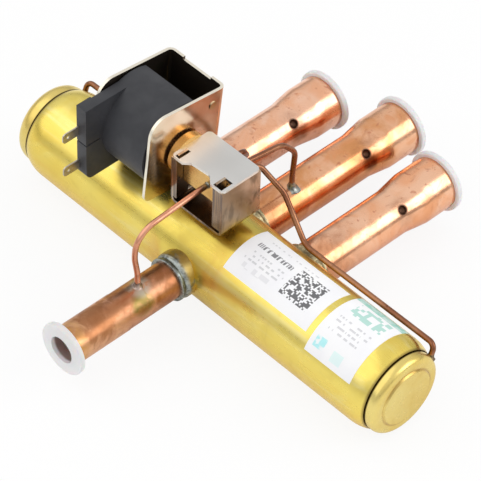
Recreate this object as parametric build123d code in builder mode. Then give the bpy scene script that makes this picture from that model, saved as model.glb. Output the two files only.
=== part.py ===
from build123d import *

import os
from math import cos, radians, sin

# A four way reversing valve for a heat pump.  Millimetres, +Z up.
# The origin is the centre of the discharge tube's mouth.  The body lies along X, the discharge
# tube leaves it towards -Y, and the three reversing ports leave it towards +Y.

os.makedirs("parts", exist_ok=True)

# ---- clearances ----
braze_gap = 0.03         # radial gap that the braze fills
slide_gap = 0.3          # free space round a sliding piece
seal_gap = 0.05          # running fit of the piston seals
plunger_gap = 0.1        # running fit of the plunger in its tube

# ---- body tube ----
body_r = 27.0            # 2-1/8 in tube
body_wall = 2.0
cap_depth = {"left": 14.0, "right": 24.0}  # from the piston's stop to the tube's end
roll_length = 10.0       # rolled-in stretch at each end
roll_drop = 2.4

# ---- end caps ----
cap_step = 0.4           # step in from the tube's end to the cap head
cap_head_length = {"left": 10.8, "right": 6.8}
cap_groove = 0.9         # open groove between tube end and cap head
cap_rim_radius = {"left": 7.0, "right": 4.0}
cap_face_margin = {"left": 9.0, "right": 7.7}  # head's edge to its flat plateau
cap_face_rise = 0.9
cap_wall = 3.6

# ---- discharge tube and collar ----
discharge_reach = 106.0  # body axis to mouth
discharge_r = 11.1       # sized end, 7/8 in tube
discharge_sized = 36.0   # length of the sized end
discharge_step = 0.2     # step in from the sized end to the shank
discharge_wall = 1.0
discharge_sink = 7.0     # how far it reaches in below the body's crown
collar_t = 2.5           # wall of the collar, where it meets the body, at its waist and rim
collar_waist_t = 1.1
collar_rim_t = 2.0
collar_rise = 3.2        # shoulder and rim above the body's crown
collar_rim_rise = 7.4
collar_rim_half = 0.8
collar_edge_r = 0.6
collar_sink = 2.0        # how far braze reaches in through the body's wall

# ---- reversing ports ----
port_pitch = 44.0
port_r = 13.5
port_wall = 1.25
socket_bore_r = 14.3     # takes 1-1/8 in tube
socket_wall = 1.45
port_reach = {"left": 124.3, "suction": 141.1, "right": 124.3}
socket_length = {"left": 15.3, "suction": 19.1, "right": 18.8}
swage_length = 15.0
mouth_flare = 0.35       # bell mouth that eases the joining tube in
mouth_depth = 6.0
stop_r = 3.4             # punched tube stop
stop_dent_r = 2.5
stop_turn = 45.0         # way of the tube stop, from +X to +Z
stop_back = 2.0          # tube stop to the start of the swage
ring_t = 2.1             # braze fillet round each port's root
ring_rise = 2.2          # its top edge above the body's crown
ring_slope = 3.6         # length of its rounded shoulder
ring_sink = 3.0

# ---- valve seat and slide ----
seat_face = 12.0         # body axis to the lapped face
seat_hole_r = 10.0
seat_margin = 1.5
seat_socket = 17.0       # where the port tubes stop in the seat
slide_wall = 3.0
slide_depth = 13.0
slide_back = 4.0
carriage_face = 4.5      # body axis to the carriage plate's near face
carriage_t = 2.5
carriage_width = 36.0
flange_margin = 7.0      # body's bore to the carriage flange
flange_t = 2.5
carriage_play = 1.0      # carriage flange to seat at the end of travel
piston_gap = 0.7
piston_t = 3.0
seal_t = 2.5
stop_play = 0.5          # piston seal to end cap at the end of travel
screw_r = 2.5
screw_head_r = 5.5
screw_head = 3.0
screw_slot = 1.2
screw_slot_depth = 1.4
spring_strip = 0.5
spring_width = 10.0
spring_clear = 1.5       # slide block's end to the spring's shoulder
spring_ramp = 2.0
spring_foot = 4.0

# ---- pilot valve ----
pilot_rise = 28.0        # pilot axis above the body's crown
pilot_r = 7.4
pilot_wall = 1.4
pilot_flange_r = 12.3
pilot_flange_t = 4.5
pilot_edge = 1.0
pilot_seat_x = -1.0      # seat web between the two chambers
pilot_seat_t = 2.0
pilot_seat_r = 1.2
pilot_chamber_r = 3.5
pilot_end_wall = 4.0     # wall past the right chamber
pilot_tap_x = {"discharge": 2.0, "left": -4.0, "suction": 3.0, "right": 8.0}
pilot_square_half = 8.8   # square stretch of the body between the bracket's leaves
pilot_square_depth = 10.5  # pilot's axis to its underside
pilot_square_edge = 1.6
stem_r = 6.5
stem_wall = 0.4
core_length = 16.0
plunger_reach = 3.6      # bracket's face to the plunger's inner end
plunger_stroke = 2.5
return_spring_r = 2.6
return_wire_r = 0.35
return_turns = 4
spring_pocket = 6.0
plunger_edge = 0.8
needle_r = 2.0
needle_point = 1.4

# ---- pilot bracket ----
bracket_left = 20.5
bracket_right = 18.5
bracket_half = 13.8
bracket_rise = 4.4       # its floor above the body's crown
bracket_height = 33.0
sheet = 1.5
bend_r = 2.2
left_return = 4.2        # width of the front return at each side
right_return = 7.4
leaf_length = 8.4
leaf_tab = 1.0
slot_gap = 0.6
slot_room = {"left": 1.1, "right": 4.1}  # from a tab to the far side of its slot
cover_corner_r = 2.5
notch_depth = 4.4        # curved notch in the cover's front edge, for the capillary
notch_ramp = 5.0
notch_shoulder = 7.0
notch_tilt = 1.0
saddle_half = 9.0
saddle_length = 26.0
saddle_sink = 5.4        # its flanks reach this far below the body's crown

# ---- coil and yoke ----
coil_rise = 2.2          # coil's axis above the pilot's
coil_r = 26.5
coil_flat = 10.0         # flat back of the moulding
coil_play = 1.0
yoke_play = 1.5          # pilot flange to the yoke
yoke_length = 43.0       # outer face to outer face of the yoke's cheeks
yoke_t = 1.8
yoke_front = 25.0
yoke_back = 28.5
yoke_half = 27.0
yoke_tilt = 6.0
yoke_corner_r = 10.5
yoke_foot_r = 4.5
yoke_notch = (11.0, 32.5)  # shallow notch in the web's top edge, from the left cheek
yoke_notch_depth = 1.5
dimple_r = 2.4           # round dimple pressed out of the right cheek
dimple_rise = 0.5
dimple_back = 9.1        # dimple to the yoke's back
dimple_drop = 8.6        # dimple to the yoke's top
block_t = 7.4            # terminal block
block_inset = 1.8        # yoke's left cheek to the block's left face
block_clear = 3.4        # tilted yoke's front edge to the block
block_depth = 9.6
block_drop = 22.6        # its foot and top from the pilot's axis
block_rise = 27.0
block_corner_r = 4.5     # its lower front edge
block_split = 2.0        # split line above the pilot's axis
split_width = 0.8
split_depth = 0.7
blade_width = 6.35       # 1/4 in spade terminals
blade_t = 0.8
blade_out = 11.0         # how far the blades stand out of the block
blade_embed = 6.0
blade_rise = {"lower": -14.5, "upper": 9.5}  # blades from the pilot's axis
blade_inset = 1.2        # blades from the block's left face
blade_corner = 2.0
blade_hole_r = 0.9
blade_hole_inset = 3.4
coil_screw_r = 2.0
coil_screw_depth = 8.0
coil_screw_head_r = 5.5
coil_screw_head = 4.5
coil_washer = 2.0        # washer past the head
coil_washer_t = 1.0

# ---- capillary tubes ----
capillary_r = 1.6
capillary_wall = 0.8
tap_depth = 1.0          # how far a capillary's end sits in what it is brazed to
discharge_tap_y = 56.2   # where capillaries join the discharge tube and the suction port
suction_tap = (2.8, 54.0)
entry_x = 2.6            # where the end capillaries meet the cap heads, past the tube ends
entry_turn = 26.6        # place round the head, from +Y to +Z
entry_sink = 1.4         # how far their ends are let in from the head's edge
entry_lean = 20.0        # slant of their last runs from upright
entry_rise = 9.5         # length of the last runs
run_clear = 3.5          # end capillaries to the body, axis to surface

# ---- labels ----
label_t = 0.15
label_end = 1.5          # rolled-in end to the maker's label
label_space = 4.0        # from label to label
data_label = {"width": 62.0, "angle": (61.0, 135.0)}
maker_label = {"width": 33.0, "angle": (45.0, 152.0)}

# ---- transport caps ----
plug_gap = 0.1
plug_wall = 1.4
plug_depth = 5.0
plug_rim_t = 3.4
plug_rim_step = {"discharge": 4.3, "socket": 2.45}  # rim past the tube's outside
plug_edge_r = 0.8
plug_recess_r = 8.0

# ---- derived sizes ----
body_bore_r = body_r - body_wall
end_r = body_r - roll_drop
neck_r = end_r - body_wall
cap_head_r = end_r - cap_step
slide_travel = port_pitch
seat_half = port_pitch + port_r + seat_margin
slide_length = port_pitch + 2 * (seat_hole_r + slide_wall)
slide_width = 2 * (seat_hole_r + slide_wall + 1)
slide_x = -slide_travel / 2
carriage_half = slide_travel / 2 + seat_half + carriage_play
piston_reach = carriage_half + flange_t + piston_t + seal_t
stop_x = slide_travel / 2 + piston_reach + stop_play
body_left = stop_x + cap_depth["left"]
body_right = stop_x + cap_depth["right"]
port_x = {"left": -port_pitch, "suction": 0.0, "right": port_pitch}
socket_r = socket_bore_r + socket_wall
discharge_shank_r = discharge_r - discharge_step
pilot_z = body_r + pilot_rise
coil_z = pilot_z + coil_rise
bracket_bottom = body_r + bracket_rise
bracket_top = bracket_bottom + bracket_height
yoke_right = bracket_left + pilot_flange_t + yoke_play
yoke_left = yoke_right + yoke_length
stem_end = yoke_left - yoke_t / 2
block_left = yoke_left - block_inset
block_right = block_left - block_t
block_back = yoke_front + block_clear
block_front = block_back + block_depth
block_foot = pilot_z - block_drop
block_top = pilot_z + block_rise
blade_reach = block_front + blade_out
blade_x = -block_left + blade_inset
capillary_bore_r = capillary_r - capillary_wall


def at(x, y, z):
    """A point given from where the body's axis crosses the discharge port's."""
    return (x, discharge_reach + y, z)


def save(piece, name):
    """Label a finished piece and write it as its own file."""
    piece.part.label = name
    export_step(piece.part, f"parts/{name}.step")


body_axis = Axis(at(0, 0, 0), (1, 0, 0))
side_plane = Plane(origin=at(0, 0, 0), x_dir=(1, 0, 0), z_dir=(0, -1, 0))


def cross_at(x, y=0.0, z=0.0):
    """A plane square to X, with local x along Y and local y along Z."""
    return Plane(origin=at(x, y, z), x_dir=(0, 1, 0), z_dir=(1, 0, 0))


def level_at(z):
    """A level plane above the body's axis."""
    return Plane(origin=at(0, 0, z))


def round_body(radius, angle):
    """The y and z of a point round the body, its angle from +Y to +Z."""
    turn = radians(angle)
    return (radius * cos(turn), radius * sin(turn))


# ---- body ----
with BuildPart() as body_tube:
    with BuildSketch(side_plane):
        with BuildLine():
            Line((-body_left + roll_length, body_r), (body_right - roll_length, body_r))
            TangentArc((body_right - roll_length, body_r), (body_right, end_r), tangent=(1, 0))
            Line((body_right, end_r), (body_right, neck_r))
            TangentArc((body_right - roll_length, body_bore_r), (body_right, neck_r), tangent=(1, 0))
            Line((body_right - roll_length, body_bore_r), (-body_left + roll_length, body_bore_r))
            TangentArc((-body_left + roll_length, body_bore_r), (-body_left, neck_r), tangent=(-1, 0))
            Line((-body_left, neck_r), (-body_left, end_r))
            TangentArc((-body_left + roll_length, body_r), (-body_left, end_r), tangent=(-1, 0))
        make_face()
    revolve(axis=body_axis)
    with BuildSketch(side_plane):
        with Locations(*[(x, 0) for x in port_x.values()]):
            Circle(port_r + braze_gap)
    extrude(amount=-body_r, mode=Mode.SUBTRACT)
    with BuildSketch(side_plane):
        Circle(discharge_shank_r + braze_gap)
    extrude(amount=body_r, mode=Mode.SUBTRACT)
save(body_tube, "body_tube")


def end_cap(end, tube_end, side):
    """The turned cap in one end of the body: a cup with a neck and a rounded head.

    side is 1 for the right end and -1 for the left end.
    """
    head_start = tube_end + cap_groove
    head_end = head_start + cap_head_length[end]
    hole_x = side * (tube_end + entry_x)
    cavity_r = neck_r - cap_wall
    face_r = cap_head_r - cap_face_margin[end]
    entry = Plane(origin=at(hole_x, *entry_point), x_dir=(1, 0, 0), z_dir=entry_way)
    with BuildPart() as cap:
        with BuildSketch(side_plane):
            with BuildLine():
                Polyline(
                    (side * stop_x, cavity_r),
                    (side * stop_x, body_bore_r - braze_gap),
                    (side * (tube_end - roll_length), body_bore_r - braze_gap),
                    (side * (tube_end - roll_length), neck_r - braze_gap),
                    (side * head_start, neck_r - braze_gap),
                    (side * head_start, cap_head_r),
                    (side * (head_end - cap_face_rise), cap_head_r),
                    (side * (head_end - cap_face_rise), face_r + cap_face_rise),
                    (side * head_end, face_r),
                    (side * head_end, 0),
                    (side * (head_end - cap_wall), 0),
                    (side * (head_end - cap_wall), cavity_r),
                    close=True,
                )
            make_face()
        revolve(axis=body_axis)
        outer_rims = [
            edge
            for edge in cap.edges().filter_by(GeomType.CIRCLE)
            if abs(edge.radius - cap_head_r) < 0.01 and abs(edge.center().X) > head_start + 1
        ]
        fillet(outer_rims, cap_rim_radius[end])
        with BuildSketch(entry):
            Circle(capillary_r + braze_gap)
        extrude(amount=entry_rise, both=True, mode=Mode.SUBTRACT)
    return cap


# where the two end capillaries run into the cap heads, and the way they point there
entry_point = round_body(cap_head_r - entry_sink, entry_turn)
entry_way = (0, -sin(radians(entry_lean)), -cos(radians(entry_lean)))

save(end_cap("left", body_left, -1), "left_end_cap")
save(end_cap("right", body_right, 1), "right_end_cap")

with BuildPart() as valve_seat:
    with BuildSketch(cross_at(-seat_half)):
        Circle(body_bore_r - braze_gap)
        with Locations((seat_face - body_r, 0)):
            Rectangle(2 * body_r, 2 * body_r, mode=Mode.SUBTRACT)
    extrude(amount=2 * seat_half)
    with BuildSketch(side_plane):
        with Locations(*[(x, 0) for x in port_x.values()]):
            Circle(seat_hole_r)
    extrude(amount=-body_r, mode=Mode.SUBTRACT)
    with BuildSketch(side_plane.offset(-seat_socket)):
        with Locations(*[(x, 0) for x in port_x.values()]):
            Circle(port_r + braze_gap)
    extrude(amount=-body_r, mode=Mode.SUBTRACT)
save(valve_seat, "valve_seat")

# ---- discharge tube ----
discharge_axis = Axis(at(0, 0, 0), (0, 1, 0))
discharge_inner = body_r - discharge_sink
with BuildPart() as discharge_tube:
    with BuildSketch(side_plane.offset(discharge_inner)):
        Circle(discharge_shank_r)
    extrude(amount=discharge_reach - discharge_inner)
    with BuildSketch(side_plane.offset(discharge_reach - discharge_sized)):
        Circle(discharge_r)
    extrude(amount=discharge_sized)
    with BuildSketch(side_plane.offset(discharge_inner)):
        Circle(discharge_r - discharge_wall)
    extrude(amount=discharge_reach, mode=Mode.SUBTRACT)
    with BuildSketch(Plane(origin=at(0, -discharge_tap_y, 0))):
        Circle(capillary_r + braze_gap)
    extrude(amount=body_r, mode=Mode.SUBTRACT)
save(discharge_tube, "discharge_tube")

collar_r = discharge_shank_r + collar_t
collar_rim = body_r + collar_rim_rise
collar_top = body_r + collar_rise
collar_foot = body_bore_r - 2 * collar_sink
with BuildPart() as discharge_collar:
    with BuildSketch(level_at(0)):
        with BuildLine():
            FilletPolyline(
                (discharge_shank_r + braze_gap, -collar_foot),
                (discharge_shank_r + braze_gap, -collar_rim - collar_rim_half),
                (discharge_shank_r + collar_rim_t, -collar_rim - collar_rim_half),
                (discharge_shank_r + collar_rim_t, -collar_rim + collar_rim_half),
                (discharge_shank_r + collar_waist_t, -(collar_rim + collar_top) / 2),
                (collar_r, -collar_top),
                (collar_r, -collar_foot),
                radius=[0, collar_edge_r, collar_edge_r, collar_rim_half, collar_rim_half],
            )
            Line((collar_r, -collar_foot), (discharge_shank_r + braze_gap, -collar_foot))
        make_face()
    revolve(axis=discharge_axis)
    with BuildSketch(cross_at(-2 * collar_r)):
        Circle(body_r)
    extrude(amount=4 * collar_r, mode=Mode.SUBTRACT)
save(discharge_collar, "discharge_collar")


# ---- reversing ports ----
def port_tube(name):
    """One reversing port: a tube swaged out to a solder socket, with a punched tube stop."""
    x = port_x[name]
    reach = port_reach[name]
    end = reach - socket_length[name]
    start = end - swage_length
    mouth_r = socket_bore_r + mouth_flare
    tube_bore_r = port_r - port_wall
    turn = radians(stop_turn)
    stop_centre = at(x + port_r * cos(turn), start - stop_back, port_r * sin(turn))
    stop = Sphere(stop_r, mode=Mode.PRIVATE).locate(Location(stop_centre))
    dent = Sphere(stop_dent_r, mode=Mode.PRIVATE).locate(Location(stop_centre))
    tube_plane = Plane(origin=at(x, 0, 0), x_dir=(1, 0, 0), z_dir=(0, 1, 0))
    tube_axis = Axis(at(x, 0, 0), (0, 1, 0))
    within = Cylinder(port_r, start, mode=Mode.PRIVATE).locate(tube_plane.offset(start / 2).location)
    with BuildPart() as tube:
        with BuildSketch(Plane(origin=at(x, 0, 0))):
            with BuildLine():
                FilletPolyline(
                    (port_r, seat_socket),
                    (port_r, start),
                    (socket_r, end),
                    (socket_r, reach),
                    radius=[swage_length, swage_length],
                )
                Polyline(
                    (socket_r, reach),
                    (mouth_r, reach),
                    (mouth_r, reach - mouth_depth),
                    (socket_bore_r, reach - mouth_depth),
                )
                FilletPolyline(
                    (socket_bore_r, reach - mouth_depth),
                    (socket_bore_r, end),
                    (tube_bore_r, start),
                    (tube_bore_r, seat_socket),
                    radius=[swage_length, swage_length],
                )
                Line((tube_bore_r, seat_socket), (port_r, seat_socket))
            make_face()
        revolve(axis=tube_axis)
        add(stop & within)
        add(dent, mode=Mode.SUBTRACT)
        if name == "suction":
            with BuildSketch(Plane(origin=at(*suction_tap, 0))):
                Circle(capillary_r + braze_gap)
            extrude(amount=body_r, mode=Mode.SUBTRACT)
    return tube


def braze_ring(name):
    """The braze fillet round a port's root, saddled on the body."""
    x = port_x[name]
    inner_r = port_r + braze_gap
    ring_r = port_r + ring_t
    top = body_r + ring_rise
    foot = body_bore_r - 2 * ring_sink
    with BuildPart() as ring:
        with BuildSketch(Plane(origin=at(x, 0, 0))):
            with BuildLine():
                Line((inner_r, foot), (inner_r, top))
                TangentArc((inner_r, top), (ring_r, top - ring_slope), tangent=(0, -1))
                Line((ring_r, top - ring_slope), (ring_r, foot))
                Line((ring_r, foot), (inner_r, foot))
            make_face()
        revolve(axis=Axis(at(x, 0, 0), (0, 1, 0)))
        with BuildSketch(cross_at(x - 2 * ring_r)):
            Circle(body_r)
        extrude(amount=4 * ring_r, mode=Mode.SUBTRACT)
    return ring


for port in port_x:
    save(port_tube(port), f"{port}_port_tube")
    save(braze_ring(port), f"{port}_braze_ring")


# ---- main slide, its carriage and pistons ----
flange_r = body_bore_r - flange_margin
piston_r = body_bore_r - piston_gap
slide_plane = Plane(origin=at(slide_x, seat_face, 0), x_dir=(1, 0, 0), z_dir=(0, -1, 0))
with BuildPart() as slide_block:
    with BuildSketch(slide_plane):
        SlotOverall(slide_length, slide_width)
    extrude(amount=slide_depth + slide_back)
    fillet(slide_block.faces().sort_by(Axis.Y)[0].edges(), 3.0)
    with BuildSketch(slide_plane):
        SlotOverall(slide_length - 2 * slide_wall, slide_width - 2 * slide_wall)
    extrude(amount=slide_depth, mode=Mode.SUBTRACT)
    fillet(slide_block.faces().filter_by(Axis.Y).sort_by(Axis.Y)[-2].edges(), 4.0)
save(slide_block, "slide_block")

with BuildPart() as carriage:
    carriage_plane = Plane(origin=at(slide_x, carriage_face, 0), x_dir=(1, 0, 0), z_dir=(0, -1, 0))
    with BuildSketch(carriage_plane):
        Rectangle(2 * carriage_half, carriage_width)
    extrude(amount=carriage_t)
    for side in (-1, 1):
        with BuildSketch(cross_at(slide_x + side * carriage_half)):
            Circle(flange_r)
        extrude(amount=side * flange_t)
        with BuildSketch(cross_at(slide_x + side * carriage_half)):
            Circle(screw_r + braze_gap)
        extrude(amount=side * flange_t, mode=Mode.SUBTRACT)
    with BuildSketch(carriage_plane):
        SlotOverall(slide_length + 2 * slide_gap, slide_width + 2 * slide_gap)
    extrude(amount=carriage_t, mode=Mode.SUBTRACT)
save(carriage, "carriage")


def piston(side):
    """A piston disc behind the carriage flange."""
    with BuildPart() as disc:
        with BuildSketch(cross_at(slide_x + side * (carriage_half + flange_t))):
            Circle(piston_r)
            Circle(screw_r + braze_gap, mode=Mode.SUBTRACT)
        extrude(amount=side * piston_t)
    return disc


def piston_seal(side):
    """The sealing cup that runs in the bore, outside the piston disc."""
    with BuildPart() as seal:
        with BuildSketch(cross_at(slide_x + side * (carriage_half + flange_t + piston_t))):
            Circle(body_bore_r - seal_gap)
            Circle(screw_r + braze_gap, mode=Mode.SUBTRACT)
        extrude(amount=side * seal_t)
    return seal


def piston_screw(side):
    """The screw that clamps seal and piston to the carriage."""
    shank = flange_t + piston_t + seal_t
    with BuildPart() as screw:
        with BuildSketch(cross_at(slide_x + side * carriage_half)):
            Circle(screw_r)
        extrude(amount=side * shank)
        with BuildSketch(cross_at(slide_x + side * piston_reach)):
            Circle(screw_head_r)
        extrude(amount=side * screw_head)
        with BuildSketch(cross_at(slide_x + side * (piston_reach + screw_head))):
            Rectangle(2 * screw_head_r, screw_slot)
        extrude(amount=-side * screw_slot_depth, mode=Mode.SUBTRACT)
    return screw


for end, side in (("left", -1), ("right", 1)):
    save(piston(side), f"{end}_piston")
    save(piston_seal(side), f"{end}_piston_seal")
    save(piston_screw(side), f"{end}_piston_screw")

with BuildPart() as slide_spring:
    back_y = seat_face - slide_depth - slide_back - spring_strip / 2
    plate_y = carriage_face - carriage_t - spring_strip / 2
    shoulder_x = slide_length / 2 + spring_clear
    ramp_x = shoulder_x + spring_ramp
    foot_x = ramp_x + spring_foot
    with BuildSketch(Plane(origin=at(slide_x, 0, -spring_width / 2))):
        with BuildLine() as strip:
            FilletPolyline(
                (-foot_x, plate_y),
                (-ramp_x, plate_y),
                (-shoulder_x, back_y),
                (shoulder_x, back_y),
                (ramp_x, plate_y),
                (foot_x, plate_y),
                radius=[2 * spring_strip, 6 * spring_strip, 6 * spring_strip, 2 * spring_strip],
            )
        trace(strip.line, line_width=spring_strip)
    extrude(amount=spring_width)
save(slide_spring, "slide_spring")

# ---- pilot valve ----
pilot_bore_r = pilot_r - pilot_wall
pilot_end = bracket_right - sheet
square_start = -bracket_left + left_return + slide_gap
square_end = bracket_right - right_return - slide_gap
square_crown = bracket_top - sheet - slide_gap - pilot_z
with BuildPart() as pilot_body:
    with BuildSketch(cross_at(-bracket_left, 0, pilot_z)):
        Circle(pilot_flange_r)
    extrude(amount=-pilot_flange_t)
    with BuildSketch(cross_at(-bracket_left, 0, pilot_z)):
        Circle(pilot_r)
    extrude(amount=bracket_left + pilot_end)
    chamfer(pilot_body.faces().sort_by(Axis.X)[-1].edges(), pilot_edge)
    with BuildSketch(cross_at(square_start, 0, pilot_z)):
        with Locations((0, (square_crown - pilot_square_depth) / 2)):
            RectangleRounded(2 * pilot_square_half, square_crown + pilot_square_depth, pilot_square_edge)
    extrude(amount=square_end - square_start)
    with BuildSketch(cross_at(-bracket_left - pilot_flange_t, 0, pilot_z)):
        Circle(stem_r + braze_gap)
    extrude(amount=pilot_flange_t, mode=Mode.SUBTRACT)
    for start, end, bore_r in (
        (-bracket_left - pilot_flange_t, pilot_seat_x, pilot_bore_r),
        (pilot_seat_x, pilot_seat_x + pilot_seat_t, pilot_seat_r),
        (pilot_seat_x + pilot_seat_t, pilot_end - pilot_end_wall, pilot_chamber_r),
    ):
        with BuildSketch(cross_at(start, 0, pilot_z)):
            Circle(bore_r)
        extrude(amount=end - start, mode=Mode.SUBTRACT)
    for name, x in pilot_tap_x.items():
        way = -1 if name == "discharge" else 1
        tap_plane = Plane(origin=at(x, 0, pilot_z), x_dir=(1, 0, 0), z_dir=(0, way, 0))
        with BuildSketch(tap_plane):
            Circle(capillary_bore_r)
        extrude(amount=pilot_square_half, mode=Mode.SUBTRACT)
        with BuildSketch(tap_plane.offset(pilot_square_half - tap_depth)):
            Circle(capillary_r + braze_gap)
        extrude(amount=2 * tap_depth, mode=Mode.SUBTRACT)
save(pilot_body, "pilot_body")

with BuildPart() as plunger_tube:
    with BuildSketch(cross_at(-stem_end, 0, pilot_z)):
        Circle(stem_r)
        Circle(stem_r - stem_wall, mode=Mode.SUBTRACT)
    extrude(amount=stem_end - bracket_left)
save(plunger_tube, "plunger_tube")

with BuildPart() as fixed_core:
    core_r = stem_r - stem_wall - braze_gap
    with BuildSketch(cross_at(-stem_end, 0, pilot_z)):
        Circle(core_r)
    extrude(amount=core_length)
    with BuildSketch(cross_at(-stem_end, 0, pilot_z)):
        Circle(coil_screw_r + braze_gap)
    extrude(amount=coil_screw_depth + coil_play, mode=Mode.SUBTRACT)
save(fixed_core, "fixed_core")

plunger_left = -stem_end + core_length + plunger_stroke
plunger_right = -bracket_left - plunger_reach
with BuildPart() as pilot_plunger:
    plunger_r = stem_r - stem_wall - plunger_gap
    with BuildSketch(cross_at(plunger_left, 0, pilot_z)):
        Circle(plunger_r)
    extrude(amount=plunger_right - plunger_left)
    chamfer(pilot_plunger.faces().sort_by(Axis.X)[-1].edges(), plunger_edge)
    with BuildSketch(cross_at(plunger_left, 0, pilot_z)):
        Circle(return_spring_r + return_wire_r + slide_gap)
    extrude(amount=spring_pocket, mode=Mode.SUBTRACT)
save(pilot_plunger, "pilot_plunger")

with BuildPart() as pilot_needle:
    needle_tip = pilot_seat_x + needle_point - (needle_r - pilot_seat_r) - seal_gap
    with BuildSketch(cross_at(plunger_right, 0, pilot_z)):
        Circle(needle_r)
    extrude(amount=needle_tip - plunger_right)
    chamfer(pilot_needle.faces().sort_by(Axis.X)[-1].edges(), needle_point)
save(pilot_needle, "pilot_needle")

with BuildPart() as return_spring:
    spring_start = -stem_end + core_length + return_wire_r
    spring_length = plunger_stroke + spring_pocket - 2 * return_wire_r
    with BuildLine() as coil_line:
        Helix(
            pitch=spring_length / return_turns,
            height=spring_length,
            radius=return_spring_r,
            center=at(spring_start, 0, pilot_z),
            direction=(1, 0, 0),
        )
    with BuildSketch(Plane(origin=coil_line.line @ 0, z_dir=coil_line.line % 0)):
        Circle(return_wire_r)
    sweep(path=coil_line.line, is_frenet=True)
save(return_spring, "return_spring")

# ---- pilot bracket: a folded channel with inward returns, and a cover over its top ----
cover_under = bracket_top - sheet
bracket_mid = (bracket_right - bracket_left) / 2
with BuildPart() as pilot_bracket:
    with BuildSketch(side_plane.offset(-bracket_half)):
        with BuildLine() as fold:
            FilletPolyline(
                (-bracket_left + sheet / 2, cover_under),
                (-bracket_left + sheet / 2, bracket_bottom + sheet / 2),
                (bracket_right - sheet / 2, bracket_bottom + sheet / 2),
                (bracket_right - sheet / 2, cover_under),
                radius=bend_r + sheet / 2,
            )
        trace(fold.line, line_width=sheet)
    extrude(amount=2 * bracket_half)
    for wall_x, side, reach in ((-bracket_left, 1, left_return), (bracket_right, -1, right_return)):
        leaf_x = wall_x + side * (reach - sheet / 2)
        with BuildSketch(level_at(bracket_bottom + sheet + bend_r)):
            with Locations((wall_x + side * reach / 2, -bracket_half + sheet / 2)):
                Rectangle(reach, sheet)
            with Locations((leaf_x, -bracket_half + leaf_length / 2)):
                Rectangle(sheet, leaf_length)
        extrude(amount=cover_under - bracket_bottom - sheet - bend_r)
        with BuildSketch(level_at(cover_under)):
            with Locations((leaf_x, -bracket_half + (sheet + leaf_length) / 2)):
                Rectangle(sheet, leaf_length - sheet)
        extrude(amount=sheet + leaf_tab)
    with BuildSketch(cross_at(-bracket_left, 0, pilot_z)):
        Circle(pilot_r + braze_gap)
    extrude(amount=sheet, mode=Mode.SUBTRACT)
    with BuildSketch(cross_at(-bracket_left + sheet, 0, pilot_z)):
        Circle(pilot_r + slide_gap)
    extrude(amount=bracket_left + bracket_right - 2 * sheet, mode=Mode.SUBTRACT)
save(pilot_bracket, "pilot_bracket")

with BuildPart() as bracket_cover:
    with BuildSketch(level_at(cover_under)):
        with Locations((bracket_mid, 0)):
            plate = Rectangle(bracket_left + bracket_right, 2 * bracket_half)
        fillet(plate.vertices(), cover_corner_r)
        with BuildLine():
            notch_left = -bracket_left + left_return + cover_corner_r
            notch_right = bracket_right - right_return
            notch_out = -bracket_half - sheet
            FilletPolyline(
                (notch_left, notch_out),
                (notch_left + notch_ramp, -bracket_half + notch_depth - notch_tilt),
                (notch_right - notch_shoulder, -bracket_half + notch_depth),
                (notch_right, notch_out),
                radius=[2 * sheet, 2 * bend_r],
            )
            Line((notch_right, notch_out), (notch_left, notch_out))
        make_face(mode=Mode.SUBTRACT)
        for tab_start, room in (
            (-bracket_left + left_return - sheet, slot_room["left"]),
            (bracket_right - right_return, slot_room["right"]),
        ):
            slot_width = slot_gap + sheet + room
            slot_x = tab_start - slot_gap + slot_width / 2
            with Locations((slot_x, -bracket_half + (sheet + leaf_length) / 2)):
                Rectangle(slot_width, leaf_length - sheet + 2 * slot_gap, mode=Mode.SUBTRACT)
    extrude(amount=sheet)
save(bracket_cover, "bracket_cover")

saddle_foot = body_r - saddle_sink
with BuildPart() as bracket_saddle:
    with BuildSketch(cross_at(bracket_mid - saddle_length / 2)):
        with Locations((0, (bracket_bottom + saddle_foot) / 2)):
            Rectangle(2 * saddle_half, bracket_bottom - saddle_foot)
        Circle(body_r, mode=Mode.SUBTRACT)
    extrude(amount=saddle_length)
save(bracket_saddle, "bracket_saddle")

# ---- coil ----
coil_left = yoke_left - yoke_t - coil_play
coil_right = yoke_right + yoke_t + coil_play
with BuildPart() as coil_body:
    with BuildSketch(cross_at(-coil_left, 0, coil_z)):
        Circle(coil_r)
        with Locations((coil_flat + coil_r, 0)):
            Rectangle(2 * coil_r, 2 * coil_r, mode=Mode.SUBTRACT)
    extrude(amount=coil_left - coil_right)
    with BuildSketch(cross_at(-block_left)):
        with Locations((-(block_front + block_back) / 2, (block_foot + block_top) / 2)):
            block = Rectangle(block_front - block_back, block_top - block_foot)
        fillet(block.vertices().group_by(Axis.X)[0].sort_by(Axis.Y)[0], block_corner_r)
    extrude(amount=block_t)
    with BuildSketch(cross_at(-coil_left)):
        with Locations((-block_back / 2, (block_foot + block_top) / 2)):
            Rectangle(block_back, block_top - block_foot)
    extrude(amount=coil_left - block_right)
    with BuildSketch(cross_at(-yoke_left, 0, pilot_z)):
        Circle(stem_r + slide_gap)
    extrude(amount=yoke_left, mode=Mode.SUBTRACT)
    with BuildSketch(level_at(pilot_z + block_split - split_width / 2)):
        with Locations((-(block_left + block_right) / 2, -(block_front + block_back) / 2)):
            Rectangle(block_t, block_front - block_back)
            Rectangle(
                block_t - 2 * split_depth,
                block_front - block_back - 2 * split_depth,
                mode=Mode.SUBTRACT,
            )
    extrude(amount=split_width, mode=Mode.SUBTRACT)
    for rise in blade_rise.values():
        with BuildSketch(side_plane.offset(block_front - blade_embed)):
            with Locations((blade_x, pilot_z + rise)):
                Rectangle(blade_t + 2 * braze_gap, blade_width + 2 * braze_gap)
        extrude(amount=blade_embed, mode=Mode.SUBTRACT)
save(coil_body, "coil_body")


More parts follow.
